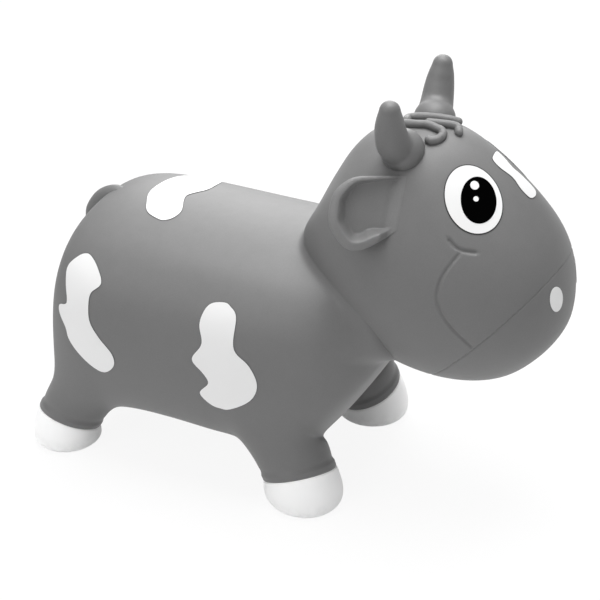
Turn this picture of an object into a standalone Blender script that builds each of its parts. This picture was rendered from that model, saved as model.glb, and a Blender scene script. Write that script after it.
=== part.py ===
"""Bouncy ride-on cow: an inflated vinyl skin with soft horns and ears, rubber hooves and an air valve.

Metres, +Z up, +X towards the nose, +Y to the animal's left, the floor at z = 0.
"""

import math

import bmesh
import bpy
from mathutils import Matrix, Vector
from mathutils.bvhtree import BVHTree

PARTS = "Bouncy cow"
HELPERS = "Cages and cutters"

# Fits, films and facets
SEAM_GAP = 0.0003
WALL = 0.003
PAINT = 0.0005
MERGE = 0.00002
FAR = 0.5
ROUNDING_LEVEL = 1
ROUND_SIDES = 20
OVAL_SIDES = 24
EGG_SEGMENTS = 20
BALL_SEGMENTS = 16
OUTLINE_STEPS = 2

# Trunk
TRUNK_LENGTH = 0.3351
RUMP_X = -0.2375
TRUNK_MID_Z = 0.157
TRUNK_RISE = 0.1059
TRUNK_DROP = 0.118
TRUNK_HALF_WIDTH = 0.1287
# Each row: place along the trunk, then half width, rise and drop as shares of the values above.
# A leg hangs under three rows that follow each other.
TRUNK_STATION_SHARES = (
    (0.012, 0.42, 0.40, 0.50),
    (0.030, 0.73, 0.71, 0.84),
    (0.043, 0.89, 0.91, 0.98),
    (0.1325, 1.01, 0.98, 0.99),
    (0.222, 1.03, 1.00, 1.00),
    (0.435, 1.02, 0.98, 1.00),
    (0.570, 1.02, 0.96, 1.04),
    (0.649, 1.01, 0.96, 1.02),
    (0.757, 0.99, 0.95, 1.00),
    (0.864, 0.95, 0.93, 0.86),
    (0.930, 0.90, 0.91, 0.60),
    (1.030, 0.66, 0.78, 0.14),
)
NECK_END_SHARE = 1.1
NECK_RISE = 0.043
REAR_LEG_INDEX = 2
FRONT_LEG_INDEX = 7
RING_DEGREES = (0, 27, 54, 82, 110, 138, 165, 180)
TRUNK_EXPONENTS = (2.4, 3.0)
# How far the rump leans forward at the top and back at the bottom, and each station's share of it.
RUMP_LEAN = 0.0149
RUMP_LEAN_SHARES = (1.0, 0.9, 0.5, 0.15)
LEG_COLUMN_INDEX = 4

# Legs and hooves, each leg on a line from its foot up to its hip. A foot stands ahead of its hip
# by its stride.
HIP_Z = 0.085
HIP_TRACK = 0.085
FOOT_TRACK = 0.094
FRONT_STRIDE = 0.0378
REAR_STRIDE = -0.0445
LEG_RADIUS = 0.0395
HOOF_RADIUS = 0.0412
HOOF_SEAM_Z = 0.030
# Below the seam the hoof stands more upright: its share of the leg's slope.
HOOF_SLOPE_SHARE = 0.52
# The seam lies nearly square to the leg: its lean inwards, and its share of the leg's slope.
SEAM_LEAN_DEGREES = 18
SEAM_SLOPE_SHARE = 0.75
# Each row: height as a share of the seam's, radius as a share of the leg's or hoof's, and lean
# as a share of the seam's.
LEG_RING_SHARES = ((1.85, 1.00, 1.30), (1.12, 0.965, 1.05))
HOOF_RING_SHARES = (
    (0.82, 0.96, 0.90), (0.42, 1.02, 0.50), (0.08, 0.95, 0.10), (-0.06, 0.62, 0.0),
)

# Head, its middle placed from the front and the middle of the trunk
HEAD_AHEAD = 0.0479
HEAD_ABOVE = 0.098
HEAD_X = RUMP_X + TRUNK_LENGTH + HEAD_AHEAD
HEAD_Z = TRUNK_MID_Z + HEAD_ABOVE
HEAD_PITCH_DEGREES = 35
HEAD_HALF_LENGTH = 0.1325
HEAD_HALF_WIDTH = 0.0956
HEAD_RISE = 0.1115
HEAD_DROP = 0.1132
HEAD_EXPONENTS = (2.3, 2.3)
# Each row: place along the head from its middle, then half width, rise and drop shares.
HEAD_STATION_SHARES = (
    (-0.93, 0.42, 0.42, 0.42),
    (-0.70, 0.72, 0.85, 0.72),
    (-0.38, 0.90, 0.99, 0.89),
    (0.00, 1.00, 0.98, 0.99),
    (0.38, 1.00, 0.91, 0.98),
    (0.70, 0.86, 0.73, 0.74),
    (0.93, 0.52, 0.44, 0.46),
)
# The neck swells the lower points of the ring, by row from the back and by point down the side.
NECK_ROW_SHARES = (0.32, 0.16, 0.12, 0.05)
NECK_POINT_SHARES = (0, 0, 0, 0.25, 1, 1, 1, 1)

# The muzzle pad, split off by the plane that shows as a straight line across the cheek
SNOUT_TILT_DEGREES = 41.4
SNOUT_REACH = 0.0773

# Where the trunk parts, below its middle: above this level it moves down as one when a child
# bounces, and below it the skin squashes. A sleeve of skin round each leg is a piece of its own.
SQUASH_DROP = 0.022
SLEEVE_RADIUS = 0.056
SLEEVE_LENGTH = 0.040
SOLE_THICKNESS = 0.004

# Horns: a root ball in the crown, then a bent tapering shaft. A row of the shaft: places along,
# across and up from the root as shares of the height, and the radius as a share of the root's.
# A seat is a direction from the head's middle, as shares of its half length, half width and rise.
HORN_SEAT_SHARES = (-0.653, -0.418, 0.678)
HORN_ROOT_RISE = 0.0025
HORN_ROOT_RADIUS = 0.0200
HORN_MOUTH_RADIUS = 0.0090
HORN_HEIGHT = 0.055
HORN_SHAFT_SHARES = (
    (-0.020, -0.050, 0.040, 0.800),
    (-0.058, -0.275, 0.220, 0.775),
    (-0.068, -0.405, 0.500, 0.700),
    (-0.055, -0.455, 0.740, 0.600),
    (-0.045, -0.490, 0.920, 0.490),
    (-0.040, -0.500, 1.000, 0.300),
    (-0.040, -0.505, 1.025, 0.100),
)
HORN_AXIS = (1, 0, 0)
HORN_SWING_DEGREES = (-8, 8)

# Ears: a cupped leaf swept back from a root ball in the side of the head
EAR_SEAT_SHARES = (-0.413, -0.753, 0.412)
EAR_ROOT_RISE = -0.0014
EAR_ROOT_RADIUS = 0.0062
EAR_HINGE = (0.077, 0.415, 0.907)
EAR_BACK = (-0.89, -0.45, -0.05)
# The leaf's middle, behind its root and out of it
EAR_REACH = 0.0272
EAR_STAND_OUT = 0.0040
EAR_HALVES = (0.0350, 0.0360, 0.0115)
# The cup opens at the front: its half sizes as shares of the leaf's, and its middle out of the
# leaf's, ahead of it and above it
EAR_CUP_SHARES = (0.90, 0.76, 0.95)
EAR_CUP_OUT = 0.0095
EAR_CUP_AHEAD = 0.0078
EAR_CUP_ABOVE = 0.0028
EAR_SWING_DEGREES = (-4, 0, 8, 16, 25)

# Tail: a nub down the rump. Each row: places ahead of the rump and above the back as shares of its
# size, and the radius as a share of its own.
TAIL_SIZE = 0.050
TAIL_RADIUS = 0.0095
TAIL_SHARES = (
    (0.83, -0.298, 0.32),
    (0.63, -0.258, 0.84),
    (0.31, -0.408, 1.00),
    (0.07, -0.718, 0.95),
    (-0.02, -0.978, 0.79),
    (-0.05, -1.098, 0.32),
)

# Forelock: three moulded curls, drawn on the crown as shares of the head's half width
CURL_RADIUS = 0.0040
CURL_SINK = 0.0014
CURL_SHARES = (
    (
        (-0.42, 0.01), (-0.26, 0.00), (-0.09, -0.05), (0.02, -0.10), (0.01, -0.19),
        (-0.06, -0.25), (-0.10, -0.23),
    ),
    ((-0.19, 0.07), (-0.05, 0.07), (0.05, 0.06), (0.11, 0.03), (0.13, -0.04)),
    ((-0.50, 0.12), (-0.39, 0.16), (-0.25, 0.18), (-0.08, 0.19), (0.05, 0.17)),
)

# Painted face: the seat of each film, its half sizes, its way out and its way up the skin
EYE_SEAT_SHARES = (-0.086, -0.479, 0.813)
EYE_OUT = (0.478, -0.523, 0.706)
EYE_UP = (-0.557, 0.442, 0.704)
EYE_HALVES = (0.0250, 0.0311)
PUPIL_SEAT_SHARES = (-0.058, -0.469, 0.835)
PUPIL_UP = (-0.324, 0.656, 0.682)
PUPIL_HALVES = (0.0161, 0.0211)
UPPER_GLINT_SEAT_SHARES = (-0.142, -0.408, 0.877)
UPPER_GLINT_RADIUS = 0.0040
LOWER_GLINT_SEAT_SHARES = (-0.076, -0.488, 0.841)
LOWER_GLINT_RADIUS = 0.0024
NOSTRIL_SEAT_SHARES = (0.770, -0.327, 0.550)
NOSTRIL_OUT = (0.947, -0.278, 0.162)
NOSTRIL_UP = (-0.233, -0.249, 0.940)
NOSTRIL_HALVES = (0.0092, 0.0125)
FILM_DEPTH = 0.020
TRUNK_FILM_DEPTH = 0.035

# Painted spots: outlines as shares of each spot's size, and centres as shares of the trunk's
# length, half width and rise, from the rump and the trunk's middle
FLANK_SPOT_CENTRE_SHARES = (0.649, -0.940, 0.047)
FLANK_SPOT_SIZE = 0.105
FLANK_SPOT_SHARES = (
    (-0.11, 0.50), (0.00, 0.49), (0.08, 0.41), (0.09, 0.14), (0.24, 0.01), (0.32, -0.17),
    (0.25, -0.35), (0.04, -0.50), (-0.16, -0.50), (-0.26, -0.39), (-0.16, -0.26),
    (-0.21, -0.16), (-0.32, -0.04), (-0.22, 0.13), (-0.26, 0.30), (-0.23, 0.43),
)
REAR_SPOT_CENTRE_SHARES = (0.192, -0.925, 0.151)
REAR_SPOT_SIZE = 0.111
REAR_SPOT_SHARES = (
    (-0.17, 0.46), (-0.03, 0.50), (0.07, 0.44), (0.15, 0.33), (0.06, 0.24), (0.05, 0.11),
    (0.07, -0.02), (0.16, -0.15), (0.28, -0.28), (0.29, -0.40), (0.19, -0.50), (0.08, -0.48),
    (-0.07, -0.37), (-0.18, -0.25), (-0.21, -0.15), (-0.29, -0.04), (-0.29, 0.04),
    (-0.19, 0.09), (-0.23, 0.25), (-0.25, 0.37),
)
BACK_SPOT_CENTRE_SHARES = (0.291, 0.101, 0.925)
BACK_SPOT_SIZE = 0.123
BACK_SPOT_SHARES = (
    (-0.17, 0.36), (-0.20, -0.10), (-0.12, -0.33), (-0.05, -0.44), (0.05, -0.49), (0.13, -0.50),
    (0.19, -0.44), (0.20, -0.33), (0.13, -0.16), (0.12, -0.06), (0.20, 0.13), (0.10, 0.50),
)
FOREHEAD_SPOT_SEAT_SHARES = (0.010, 0.126, 0.928)
FOREHEAD_SPOT_OUT = (0.639, 0, 0.769)
FOREHEAD_SPOT_SIZE = 0.053
FOREHEAD_SPOT_SHARES = (
    (0.02, 0.49), (-0.08, 0.48), (-0.17, 0.43), (-0.21, 0.26), (-0.13, 0.00), (-0.19, -0.22),
    (-0.19, -0.40), (-0.12, -0.48), (0.01, -0.51), (0.10, -0.50), (0.15, -0.42), (0.15, -0.26),
    (0.09, -0.06), (0.03, 0.12), (0.05, 0.26), (0.06, 0.41),
)
# The left side isn't in the photograph: two plain rounded spots of the same kind.
LEFT_SHOULDER_CENTRE_SHARES = (0.679, 0.940, 0.198)
LEFT_SHOULDER_SIZE = 0.080
LEFT_HAUNCH_CENTRE_SHARES = (0.321, 0.940, 0.009)
LEFT_HAUNCH_SIZE = 0.100
LEFT_SPOT_SHARES = (
    (-0.10, 0.48), (0.14, 0.44), (0.24, 0.20), (0.36, -0.02), (0.28, -0.30), (0.02, -0.46),
    (-0.22, -0.38), (-0.20, -0.14), (-0.34, 0.06), (-0.28, 0.32),
)

# Air valve under the belly: radius and height from the skin's outer face, upwards
VALVE_PLACE_SHARE = 0.470
VALVE_SEAT_PROFILE = (
    (0.0052, -0.0022), (0.0150, -0.0022), (0.0156, -0.0016), (0.0156, -0.0010), (0.0098, -0.0010),
    (0.0098, 0.0075), (0.0052, 0.0075),
)
VALVE_PLUG_PROFILE = (
    (0, -0.0052), (0.0104, -0.0052), (0.0110, -0.0046), (0.0110, -0.0025), (0.0049, -0.0025),
    (0.0049, 0.0060), (0.0040, 0.0080), (0, 0.0080),
)

# Finishes: colour and roughness
GREY_VINYL = ((0.230, 0.230, 0.230), 0.55)
DARK_GREY_VINYL = ((0.190, 0.190, 0.190), 0.55)
WHITE_VINYL = ((0.780, 0.780, 0.780), 0.50)
WHITE_PAINT = ((0.850, 0.850, 0.850), 0.45)
BLACK_PAINT = ((0.006, 0.006, 0.006), 0.30)
VALVE_PLASTIC = ((0.600, 0.600, 0.600), 0.40)


def clear_scene():
    """Removes what the startup file holds."""
    for obj in list(bpy.data.objects):
        bpy.data.objects.remove(obj)


def make_collections():
    for name in (PARTS, HELPERS):
        bpy.context.scene.collection.children.link(bpy.data.collections.new(name))


def helper(name, mesh):
    """An object for cages and cutters, which is never rendered."""
    obj = bpy.data.objects.new(name, mesh)
    obj.hide_render = True
    obj.display_type = "WIRE"
    bpy.data.collections[HELPERS].objects.link(obj)
    return obj


def formed(name, form):
    """A helper from a bmesh, with its faces turned outwards."""
    bmesh.ops.recalc_face_normals(form, faces=form.faces)
    mesh = bpy.data.meshes.new(name)
    form.to_mesh(mesh)
    form.free()
    return helper(name, mesh)


def from_faces(name, points, faces):
    mesh = bpy.data.meshes.new(name)
    mesh.from_pydata([tuple(p) for p in points], [], faces)
    form = bmesh.new()
    form.from_mesh(mesh)
    bpy.data.meshes.remove(mesh)
    return formed(name, form)


def baked(obj, name, merge=False):
    """A helper whose mesh is obj as its modifiers leave it, in world coordinates."""
    bpy.context.view_layer.update()
    graph = bpy.context.evaluated_depsgraph_get()
    mesh = bpy.data.meshes.new_from_object(obj.evaluated_get(graph))
    mesh.transform(obj.matrix_world)
    if not merge:
        return helper(name, mesh)
    form = bmesh.new()
    form.from_mesh(mesh)
    bpy.data.meshes.remove(mesh)
    bmesh.ops.remove_doubles(form, verts=form.verts, dist=MERGE)
    return formed(name, form)


def combined(name, base, *steps):
    """The base after each Boolean operation with another form in turn."""
    work = helper(name, base.data.copy())
    for operation, other in steps:
        step = work.modifiers.new("Cut", "BOOLEAN")
        step.operation = operation
        step.solver = "EXACT"
        step.object = other
    made = baked(work, name)
    bpy.data.objects.remove(work)
    return made


def offset(obj, distance):
    """The form moved outwards by distance, or inwards where it is negative."""
    work = helper(obj.name, obj.data.copy())
    move = work.modifiers.new("Offset", "DISPLACE")
    move.strength = distance
    move.mid_level = 0
    made = baked(work, obj.name + "_offset")
    bpy.data.objects.remove(work)
    return made


def mirrored(obj, name):
    """The same form on the other side of the animal."""
    form = bmesh.new()
    form.from_mesh(obj.data)
    bmesh.ops.scale(form, vec=(1, -1, 1), verts=form.verts)
    return formed(name, form)


def across(place):
    """The same place on the other side of the animal."""
    return Vector((place.x, -place.y, place.z))


def piece(name, obj, finish, origin=None):
    """The finished sub-part: its mesh with its own material, and its origin where it turns."""
    colour, roughness = finish
    material = bpy.data.materials.new(name)
    material.use_nodes = True
    shader = material.node_tree.nodes["Principled BSDF"]
    shader.inputs["Base Color"].default_value = (*colour, 1.0)
    shader.inputs["Roughness"].default_value = roughness
    shader.inputs["Metallic"].default_value = 0.0
    material.diffuse_color = (*colour, 1.0)
    mesh = obj.data.copy()
    mesh.materials.clear()
    mesh.materials.append(material)
    made = bpy.data.objects.new(name, mesh)
    bpy.data.collections[PARTS].objects.link(made)
    if origin is not None:
        mesh.transform(Matrix.Translation(-origin))
        made.location = origin
    return made


def standing(axis):
    """The turn that takes +Z to axis."""
    return Vector((0, 0, 1)).rotation_difference(axis).to_matrix().to_4x4()


def cylinder(name, start, axis, radius, length, sides=ROUND_SIDES):
    """A cylinder that starts at a point and runs along axis."""
    form = bmesh.new()
    bmesh.ops.create_cone(
        form, cap_ends=True, segments=sides, radius1=radius, radius2=radius, depth=length
    )
    place = Matrix.Translation(start + axis.normalized() * (length / 2)) @ standing(axis)
    bmesh.ops.transform(form, matrix=place, verts=form.verts)
    return formed(name, form)


def half_space(name, start, axis):
    """A block far larger than the animal, on one side of a plane."""
    return cylinder(name, start, axis, FAR, FAR, sides=8)


def ellipsoid(name, centre, axes, halves, segments=EGG_SEGMENTS):
    """An egg with its half sizes along three given directions."""
    form = bmesh.new()
    bmesh.ops.create_uvsphere(form, u_segments=segments, v_segments=segments // 2, radius=1)
    shape = Matrix([axis * half for axis, half in zip(axes, halves)]).transposed().to_4x4()
    bmesh.ops.transform(form, matrix=Matrix.Translation(centre) @ shape, verts=form.verts)
    return formed(name, form)


def ball(name, centre, axis, radius):
    """A ball whose poles lie on the axis that it turns about."""
    turn = standing(axis).to_3x3().transposed()
    return ellipsoid(name, centre, tuple(turn), (radius,) * 3, segments=BALL_SEGMENTS)


def socket(name, centre, axis, radius):
    """The hole that a ball turns in: the flats of the hole clear the corners of the ball."""
    return ball(name, centre, axis, (radius + SEAM_GAP) / math.cos(math.pi / BALL_SEGMENTS))


def swung(obj, name, pivot, axis, degrees):
    """The form turned about a line through pivot."""
    turn = Matrix.Rotation(math.radians(degrees), 4, axis)
    mesh = obj.data.copy()
    mesh.transform(Matrix.Translation(pivot) @ turn @ Matrix.Translation(-pivot))
    return helper(name, mesh)


def free_to_swing(name, base, head_clear, pivot, axis, swing):
    """The base without what would go into the head anywhere in its swing."""
    steps = []
    for degrees in swing:
        seen = swung(head_clear, "%s_clear_%d" % (name, degrees), pivot, axis, -degrees)
        steps.append(("DIFFERENCE", seen))
    return combined(name, base, *steps)


def tube(name, points, radii, steps, bevel_resolution):
    """A closed tube along a smooth curve, with its own radius at each point."""
    curve = bpy.data.curves.new(name, "CURVE")
    curve.dimensions = "3D"
    curve.resolution_u = steps
    curve.bevel_depth = max(radii)
    curve.bevel_resolution = bevel_resolution
    curve.use_fill_caps = True
    spline = curve.splines.new("NURBS")
    spline.points.add(len(points) - 1)
    for knot, point, radius in zip(spline.points, points, radii):
        knot.co = (*point, 1)
        knot.radius = radius / curve.bevel_depth
    spline.order_u = 3
    spline.use_endpoint_u = True
    spline.resolution_u = steps
    return converted(name, curve)


def converted(name, curve, place=None):
    """A curve made into a closed mesh."""
    work = helper(name, curve)
    if place is not None:
        work.matrix_world = place
    made = baked(work, name, merge=True)
    bpy.data.objects.remove(work)
    return made


def frame_at(centre, right, up):
    """The placing of a flat outline: its right, its up, and out of its face."""
    right = right.normalized()
    out = right.cross(up).normalized()
    up = out.cross(right)
    place = Matrix((right, up, out)).transposed().to_4x4()
    place.translation = centre
    return place


def outline_prism(name, outline, size, place, depth):
    """A smooth closed outline, given as shares of size, run through the skin both ways."""
    curve = bpy.data.curves.new(name, "CURVE")
    curve.dimensions = "2D"
    curve.fill_mode = "BOTH"
    curve.extrude = depth
    spline = curve.splines.new("BEZIER")
    spline.bezier_points.add(len(outline) - 1)
    for knot, (across_share, up_share) in zip(spline.bezier_points, outline):
        knot.co = (across_share * size, up_share * size, 0)
        knot.handle_left_type = "AUTO"
        knot.handle_right_type = "AUTO"
    spline.use_cyclic_u = True
    spline.resolution_u = OUTLINE_STEPS
    curve.resolution_u = OUTLINE_STEPS
    return converted(name, curve, place)


def oval_prism(name, place, half_width, half_height, depth):
    """An oval run through the skin both ways."""
    form = bmesh.new()
    bmesh.ops.create_cone(
        form, cap_ends=True, segments=OVAL_SIDES, radius1=1, radius2=1, depth=depth
    )
    shape = Matrix.Diagonal((half_width, half_height, 1, 1))
    bmesh.ops.transform(form, matrix=place @ shape, verts=form.verts)
    return formed(name, form)


def turned(name, profile, place):
    """A closed profile of radius and height, turned about its place's own Z."""
    mesh = bpy.data.meshes.new(name)
    count = len(profile)
    loop = [(k, (k + 1) % count) for k in range(count)]
    if profile[0][0] == 0:
        loop.pop()
    mesh.from_pydata([(radius, 0, height) for radius, height in profile], loop, [])
    work = helper(name, mesh)
    work.matrix_world = place
    screw = work.modifiers.new("Turn", "SCREW")
    screw.steps = ROUND_SIDES
    screw.render_steps = ROUND_SIDES
    screw.use_merge_vertices = True
    screw.merge_threshold = MERGE
    made = baked(work, name, merge=True)
    bpy.data.objects.remove(work)
    return made


def rounded_half_ring(x, half_width, rise, drop, mid_z, exponents):
    """The right half of a rounded-square section, from its top to its bottom."""
    points = []
    for degrees in RING_DEGREES:
        angle = math.radians(degrees)
        exponent = exponents[0] if math.cos(angle) > 0 else exponents[1]
        side = abs(math.sin(angle)) ** (2 / exponent)
        height = math.copysign(abs(math.cos(angle)) ** (2 / exponent), math.cos(angle))
        reach = rise if height > 0 else drop
        points.append(Vector((x, -half_width * side, mid_z + reach * height)))
    points[0].y = 0
    points[-1].y = 0
    return points


def add_mirror(obj):
    mirror = obj.modifiers.new("Mirror", "MIRROR")
    mirror.use_axis = (False, True, False)
    mirror.merge_threshold = MERGE


def rounded_both_sides(name, points, faces):
    """A cage of the right half, mirrored and rounded, in triangles that match left to right."""
    cage = from_faces(name + "_cage", points, faces)
    add_mirror(cage)
    rounding = cage.modifiers.new("Rounding", "SUBSURF")
    rounding.levels = ROUNDING_LEVEL
    rounding.render_levels = ROUNDING_LEVEL
    whole = baked(cage, name + "_rounded")
    form = bmesh.new()
    form.from_mesh(whole.data)
    left_side = [face for face in form.faces if face.calc_center_median().y > 0]
    bmesh.ops.delete(form, geom=left_side, context="FACES")
    bmesh.ops.triangulate(form, faces=form.faces, quad_method="SHORT_EDGE")
    half = formed(name + "_half", form)
    add_mirror(half)
    return baked(half, name, merge=True)


def along_trunk(share):
    return RUMP_X + share * TRUNK_LENGTH


def leg_line(front):
    """Foot and hip of the right leg at the front or the rear."""
    row, stride = (FRONT_LEG_INDEX, FRONT_STRIDE) if front else (REAR_LEG_INDEX, REAR_STRIDE)
    hip = Vector((along_trunk(TRUNK_STATION_SHARES[row + 1][0]), -HIP_TRACK, HIP_Z))
    return Vector((hip.x + stride, -FOOT_TRACK, 0)), hip


def leaning(front, share):
    """The upward direction of a right leg's ring, leaning with the leg and in to the middle."""
    foot, hip = leg_line(front)
    slope = (hip.x - foot.x) / hip.z * SEAM_SLOPE_SHARE
    inward = math.tan(math.radians(SEAM_LEAN_DEGREES))
    return Vector((slope * share, inward * share, 1)).normalized()


def leg_rings(front):
    """The rings of one right leg and hoof from the hip down, each of 8 points."""
    foot, hip = leg_line(front)
    leg_slope = (hip - foot) / hip.z
    hoof_slope = Vector((leg_slope.x * HOOF_SLOPE_SHARE, leg_slope.y * HOOF_SLOPE_SHARE, 1))
    seam = foot + leg_slope * HOOF_SEAM_Z
    table = [(share, radius * LEG_RADIUS, lean) for share, radius, lean in LEG_RING_SHARES]
    table += [(share, radius * HOOF_RADIUS, lean) for share, radius, lean in HOOF_RING_SHARES]
    corners = ((-1, -1), (-1, 0), (-1, 1), (0, 1), (1, 1), (1, 0), (1, -1), (0, -1))
    rings = []
    for share, radius, lean in table:
        slope = leg_slope if share > 1 else hoof_slope
        centre = seam + slope * (share - 1) * HOOF_SEAM_Z
        upward = leaning(front, lean)
        inward = upward.cross(Vector((1, 0, 0))).normalized()
        along = inward.cross(upward)
        ring = []
        for cx, cy in corners:
            out = Vector((cx, cy)).normalized() * radius
            ring.append(centre + along * out.x + inward * out.y)
        rings.append(ring)
    return rings


def trunk_form():
    """Barrel, legs and hooves as one rounded form."""
    points, grid, faces = [], [], []
    leans = RUMP_LEAN_SHARES + (0,) * len(TRUNK_STATION_SHARES)
    for lean, (place, width, rise, drop) in zip(leans, TRUNK_STATION_SHARES):
        reach = (width * TRUNK_HALF_WIDTH, rise * TRUNK_RISE, drop * TRUNK_DROP)
        grid.append([])
        for point in rounded_half_ring(
            along_trunk(place), *reach, TRUNK_MID_Z, TRUNK_EXPONENTS
        ):
            point.x += lean * RUMP_LEAN * (point.z - TRUNK_MID_Z) / TRUNK_RISE
            grid[-1].append(len(points))
            points.append(point)
    leg_stations = {REAR_LEG_INDEX: False, FRONT_LEG_INDEX: True}
    open_faces = [
        (first + s, LEG_COLUMN_INDEX + j) for first in leg_stations for s in (0, 1) for j in (0, 1)
    ]
    for s in range(len(TRUNK_STATION_SHARES) - 1):
        for j in range(len(RING_DEGREES) - 1):
            if (s, j) not in open_faces:
                faces.append((grid[s][j], grid[s][j + 1], grid[s + 1][j + 1], grid[s + 1][j]))
    rump_end = Vector((along_trunk(TRUNK_STATION_SHARES[0][0]), 0, TRUNK_MID_Z))
    neck_end = Vector((along_trunk(NECK_END_SHARE), 0, TRUNK_MID_Z + NECK_RISE))
    for end, place in ((0, rump_end), (-1, neck_end)):
        pole = len(points)
        points.append(place)
        for j in range(len(RING_DEGREES) - 1):
            faces.append((pole, grid[end][j], grid[end][j + 1]))
    for first, front in leg_stations.items():
        back, mid, fore = (grid[first + k] for k in range(3))
        outer, centre, inner = LEG_COLUMN_INDEX, LEG_COLUMN_INDEX + 1, LEG_COLUMN_INDEX + 2
        ring = [back[outer], back[centre], back[inner], mid[inner]]
        ring += [fore[inner], fore[centre], fore[outer], mid[outer]]
        for lower in leg_rings(front):
            new = list(range(len(points), len(points) + len(lower)))
            points += lower
            for k in range(len(ring)):
                n = (k + 1) % len(ring)
                faces.append((ring[k], ring[n], new[n], new[k]))
            ring = new
        bottom = len(points)
        points.append(sum(lower, Vector()) / len(lower))
        for k in (0, 2, 4, 6):
            faces.append((ring[k], ring[(k + 1) % 8], bottom, ring[(k + 7) % 8]))
    return rounded_both_sides("trunk_outer", points, faces)


def head_axes():
    """The head's own directions: forward along it, and up across it."""
    pitch = math.radians(HEAD_PITCH_DEGREES)
    forward = Vector((math.cos(pitch), 0, -math.sin(pitch)))
    upward = Vector((math.sin(pitch), 0, math.cos(pitch)))
    return forward, upward


def head_point(along, side, height):
    """A point given along, to the left of and above the head's middle."""
    forward, upward = head_axes()
    return Vector((HEAD_X, 0, HEAD_Z)) + forward * along + Vector((0, side, 0)) + upward * height


def head_form():
    """The egg of the head with its broad muzzle."""
    points, grid, faces = [], [], []
    necks = NECK_ROW_SHARES + (0,) * len(HEAD_STATION_SHARES)
    for neck, (place, width, rise, drop) in zip(necks, HEAD_STATION_SHARES):
        reach = (width * HEAD_HALF_WIDTH, rise * HEAD_RISE, drop * HEAD_DROP)
        ring = rounded_half_ring(0, *reach, 0, HEAD_EXPONENTS)
        grid.append([])
        for point, share in zip(ring, NECK_POINT_SHARES):
            grid[-1].append(len(points))
            point *= 1 + neck * share
            points.append(head_point(place * HEAD_HALF_LENGTH, point.y, point.z))
    for s in range(len(grid) - 1):
        for j in range(len(RING_DEGREES) - 1):
            faces.append((grid[s][j], grid[s][j + 1], grid[s + 1][j + 1], grid[s + 1][j]))
    for end, sign in ((0, -1), (-1, 1)):
        pole = len(points)
        points.append(head_point(sign * HEAD_HALF_LENGTH, 0, 0))
        for j in range(len(RING_DEGREES) - 1):
            faces.append((pole, grid[end][j], grid[end][j + 1]))
    return rounded_both_sides("head_outer", points, faces)


def snout_plane():
    """A point on the muzzle pad's plane, and the plane's forward direction."""
    tilt = math.radians(SNOUT_TILT_DEGREES)
    forward = Vector((math.cos(tilt), 0, -math.sin(tilt)))
    return Vector((HEAD_X, 0, HEAD_Z)) + forward * SNOUT_REACH, forward


def on_head(tree, seat, rise=0):
    """A place on the head's skin, or beyond it by rise, in a seat's direction from the middle."""
    sizes = (HEAD_HALF_LENGTH, HEAD_HALF_WIDTH, HEAD_RISE)
    middle = head_point(0, 0, 0)
    aim = head_point(*(share * size for share, size in zip(seat, sizes))) - middle
    place, _, _, _ = tree.ray_cast(middle, aim)
    return place + aim.normalized() * rise


def horn_forms(root, head_clear):
    """The right horn, hollow with its mouth inwards, and the form of its hole in the head."""
    axis = Vector(HORN_AXIS)
    places, radii = [], []
    for along, side, height, radius in HORN_SHAFT_SHARES:
        places.append(root + Vector((along, side, height)) * HORN_HEIGHT)
        radii.append(radius * HORN_ROOT_RADIUS)
    shaft = tube("horn_shaft", places, radii, 3, 2)
    shaft = free_to_swing("horn_stem", shaft, head_clear, root, axis, HORN_SWING_DEGREES)
    outer = combined(
        "horn_outer", ball("horn_ball", root, axis, HORN_ROOT_RADIUS), ("UNION", shaft)
    )
    bore_places = places[:-3]
    bore_radii = [radius - WALL for radius in radii[:-3]]
    inward = (head_point(0, 0, 0) - root).normalized()
    horn = combined(
        "horn",
        outer,
        ("DIFFERENCE", ball("horn_ball_bore", root, axis, HORN_ROOT_RADIUS - WALL)),
        ("DIFFERENCE", tube("horn_bore", bore_places, bore_radii, 3, 2)),
        ("DIFFERENCE", cylinder("horn_mouth", root, inward, HORN_MOUTH_RADIUS, FAR)),
    )
    return horn, socket("horn_hole", root, axis, HORN_ROOT_RADIUS)


def ear_forms(root, head_clear):
    """The right ear, clear of the head, and the form of its root's hole in the head."""
    axis, back = Vector(EAR_HINGE), Vector(EAR_BACK).normalized()
    upward = Vector((0, 0, 1))
    upward = (upward - back * back.z).normalized()
    out = upward.cross(back)
    if out.y > 0:
        out = -out
    centre = root + back * EAR_REACH + out * EAR_STAND_OUT
    axes = (back, upward, out)
    cup = [half * share for half, share in zip(EAR_HALVES, EAR_CUP_SHARES)]
    cup_centre = centre + out * EAR_CUP_OUT - back * EAR_CUP_AHEAD + upward * EAR_CUP_ABOVE
    leaf = combined(
        "ear_leaf",
        ellipsoid("ear_egg", centre, axes, EAR_HALVES),
        ("DIFFERENCE", ellipsoid("ear_cup", cup_centre, axes, cup)),
    )
    leaf = free_to_swing("ear_free", leaf, head_clear, root, axis, EAR_SWING_DEGREES)
    ear = combined("ear", leaf, ("UNION", ball("ear_ball", root, axis, EAR_ROOT_RADIUS)))
    return ear, socket("ear_hole", root, axis, EAR_ROOT_RADIUS)


def crown_height(tree, x, y):
    """The height of the head's top at a place, found from straight above."""
    top = HEAD_Z + HEAD_HALF_LENGTH + HEAD_RISE
    place, _, _, _ = tree.ray_cast(Vector((x, y, top)), Vector((0, 0, -1)))
    return place.z


def curl_forms(tree, head_clear):
    """The forelock's strands, lying on the crown."""
    curls = []
    for number, strand in enumerate(CURL_SHARES):
        places = []
        for along, side in strand:
            x, y = HEAD_X + along * HEAD_HALF_WIDTH, side * HEAD_HALF_WIDTH
            places.append(Vector((x, y, crown_height(tree, x, y) + CURL_SINK)))
        radii = [CURL_RADIUS] * len(places)
        rope = tube("strand_%d" % number, places, radii, 3, 1)
        curls.append(combined("curl_%d" % number, rope, ("DIFFERENCE", head_clear)))
    return curls


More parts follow.
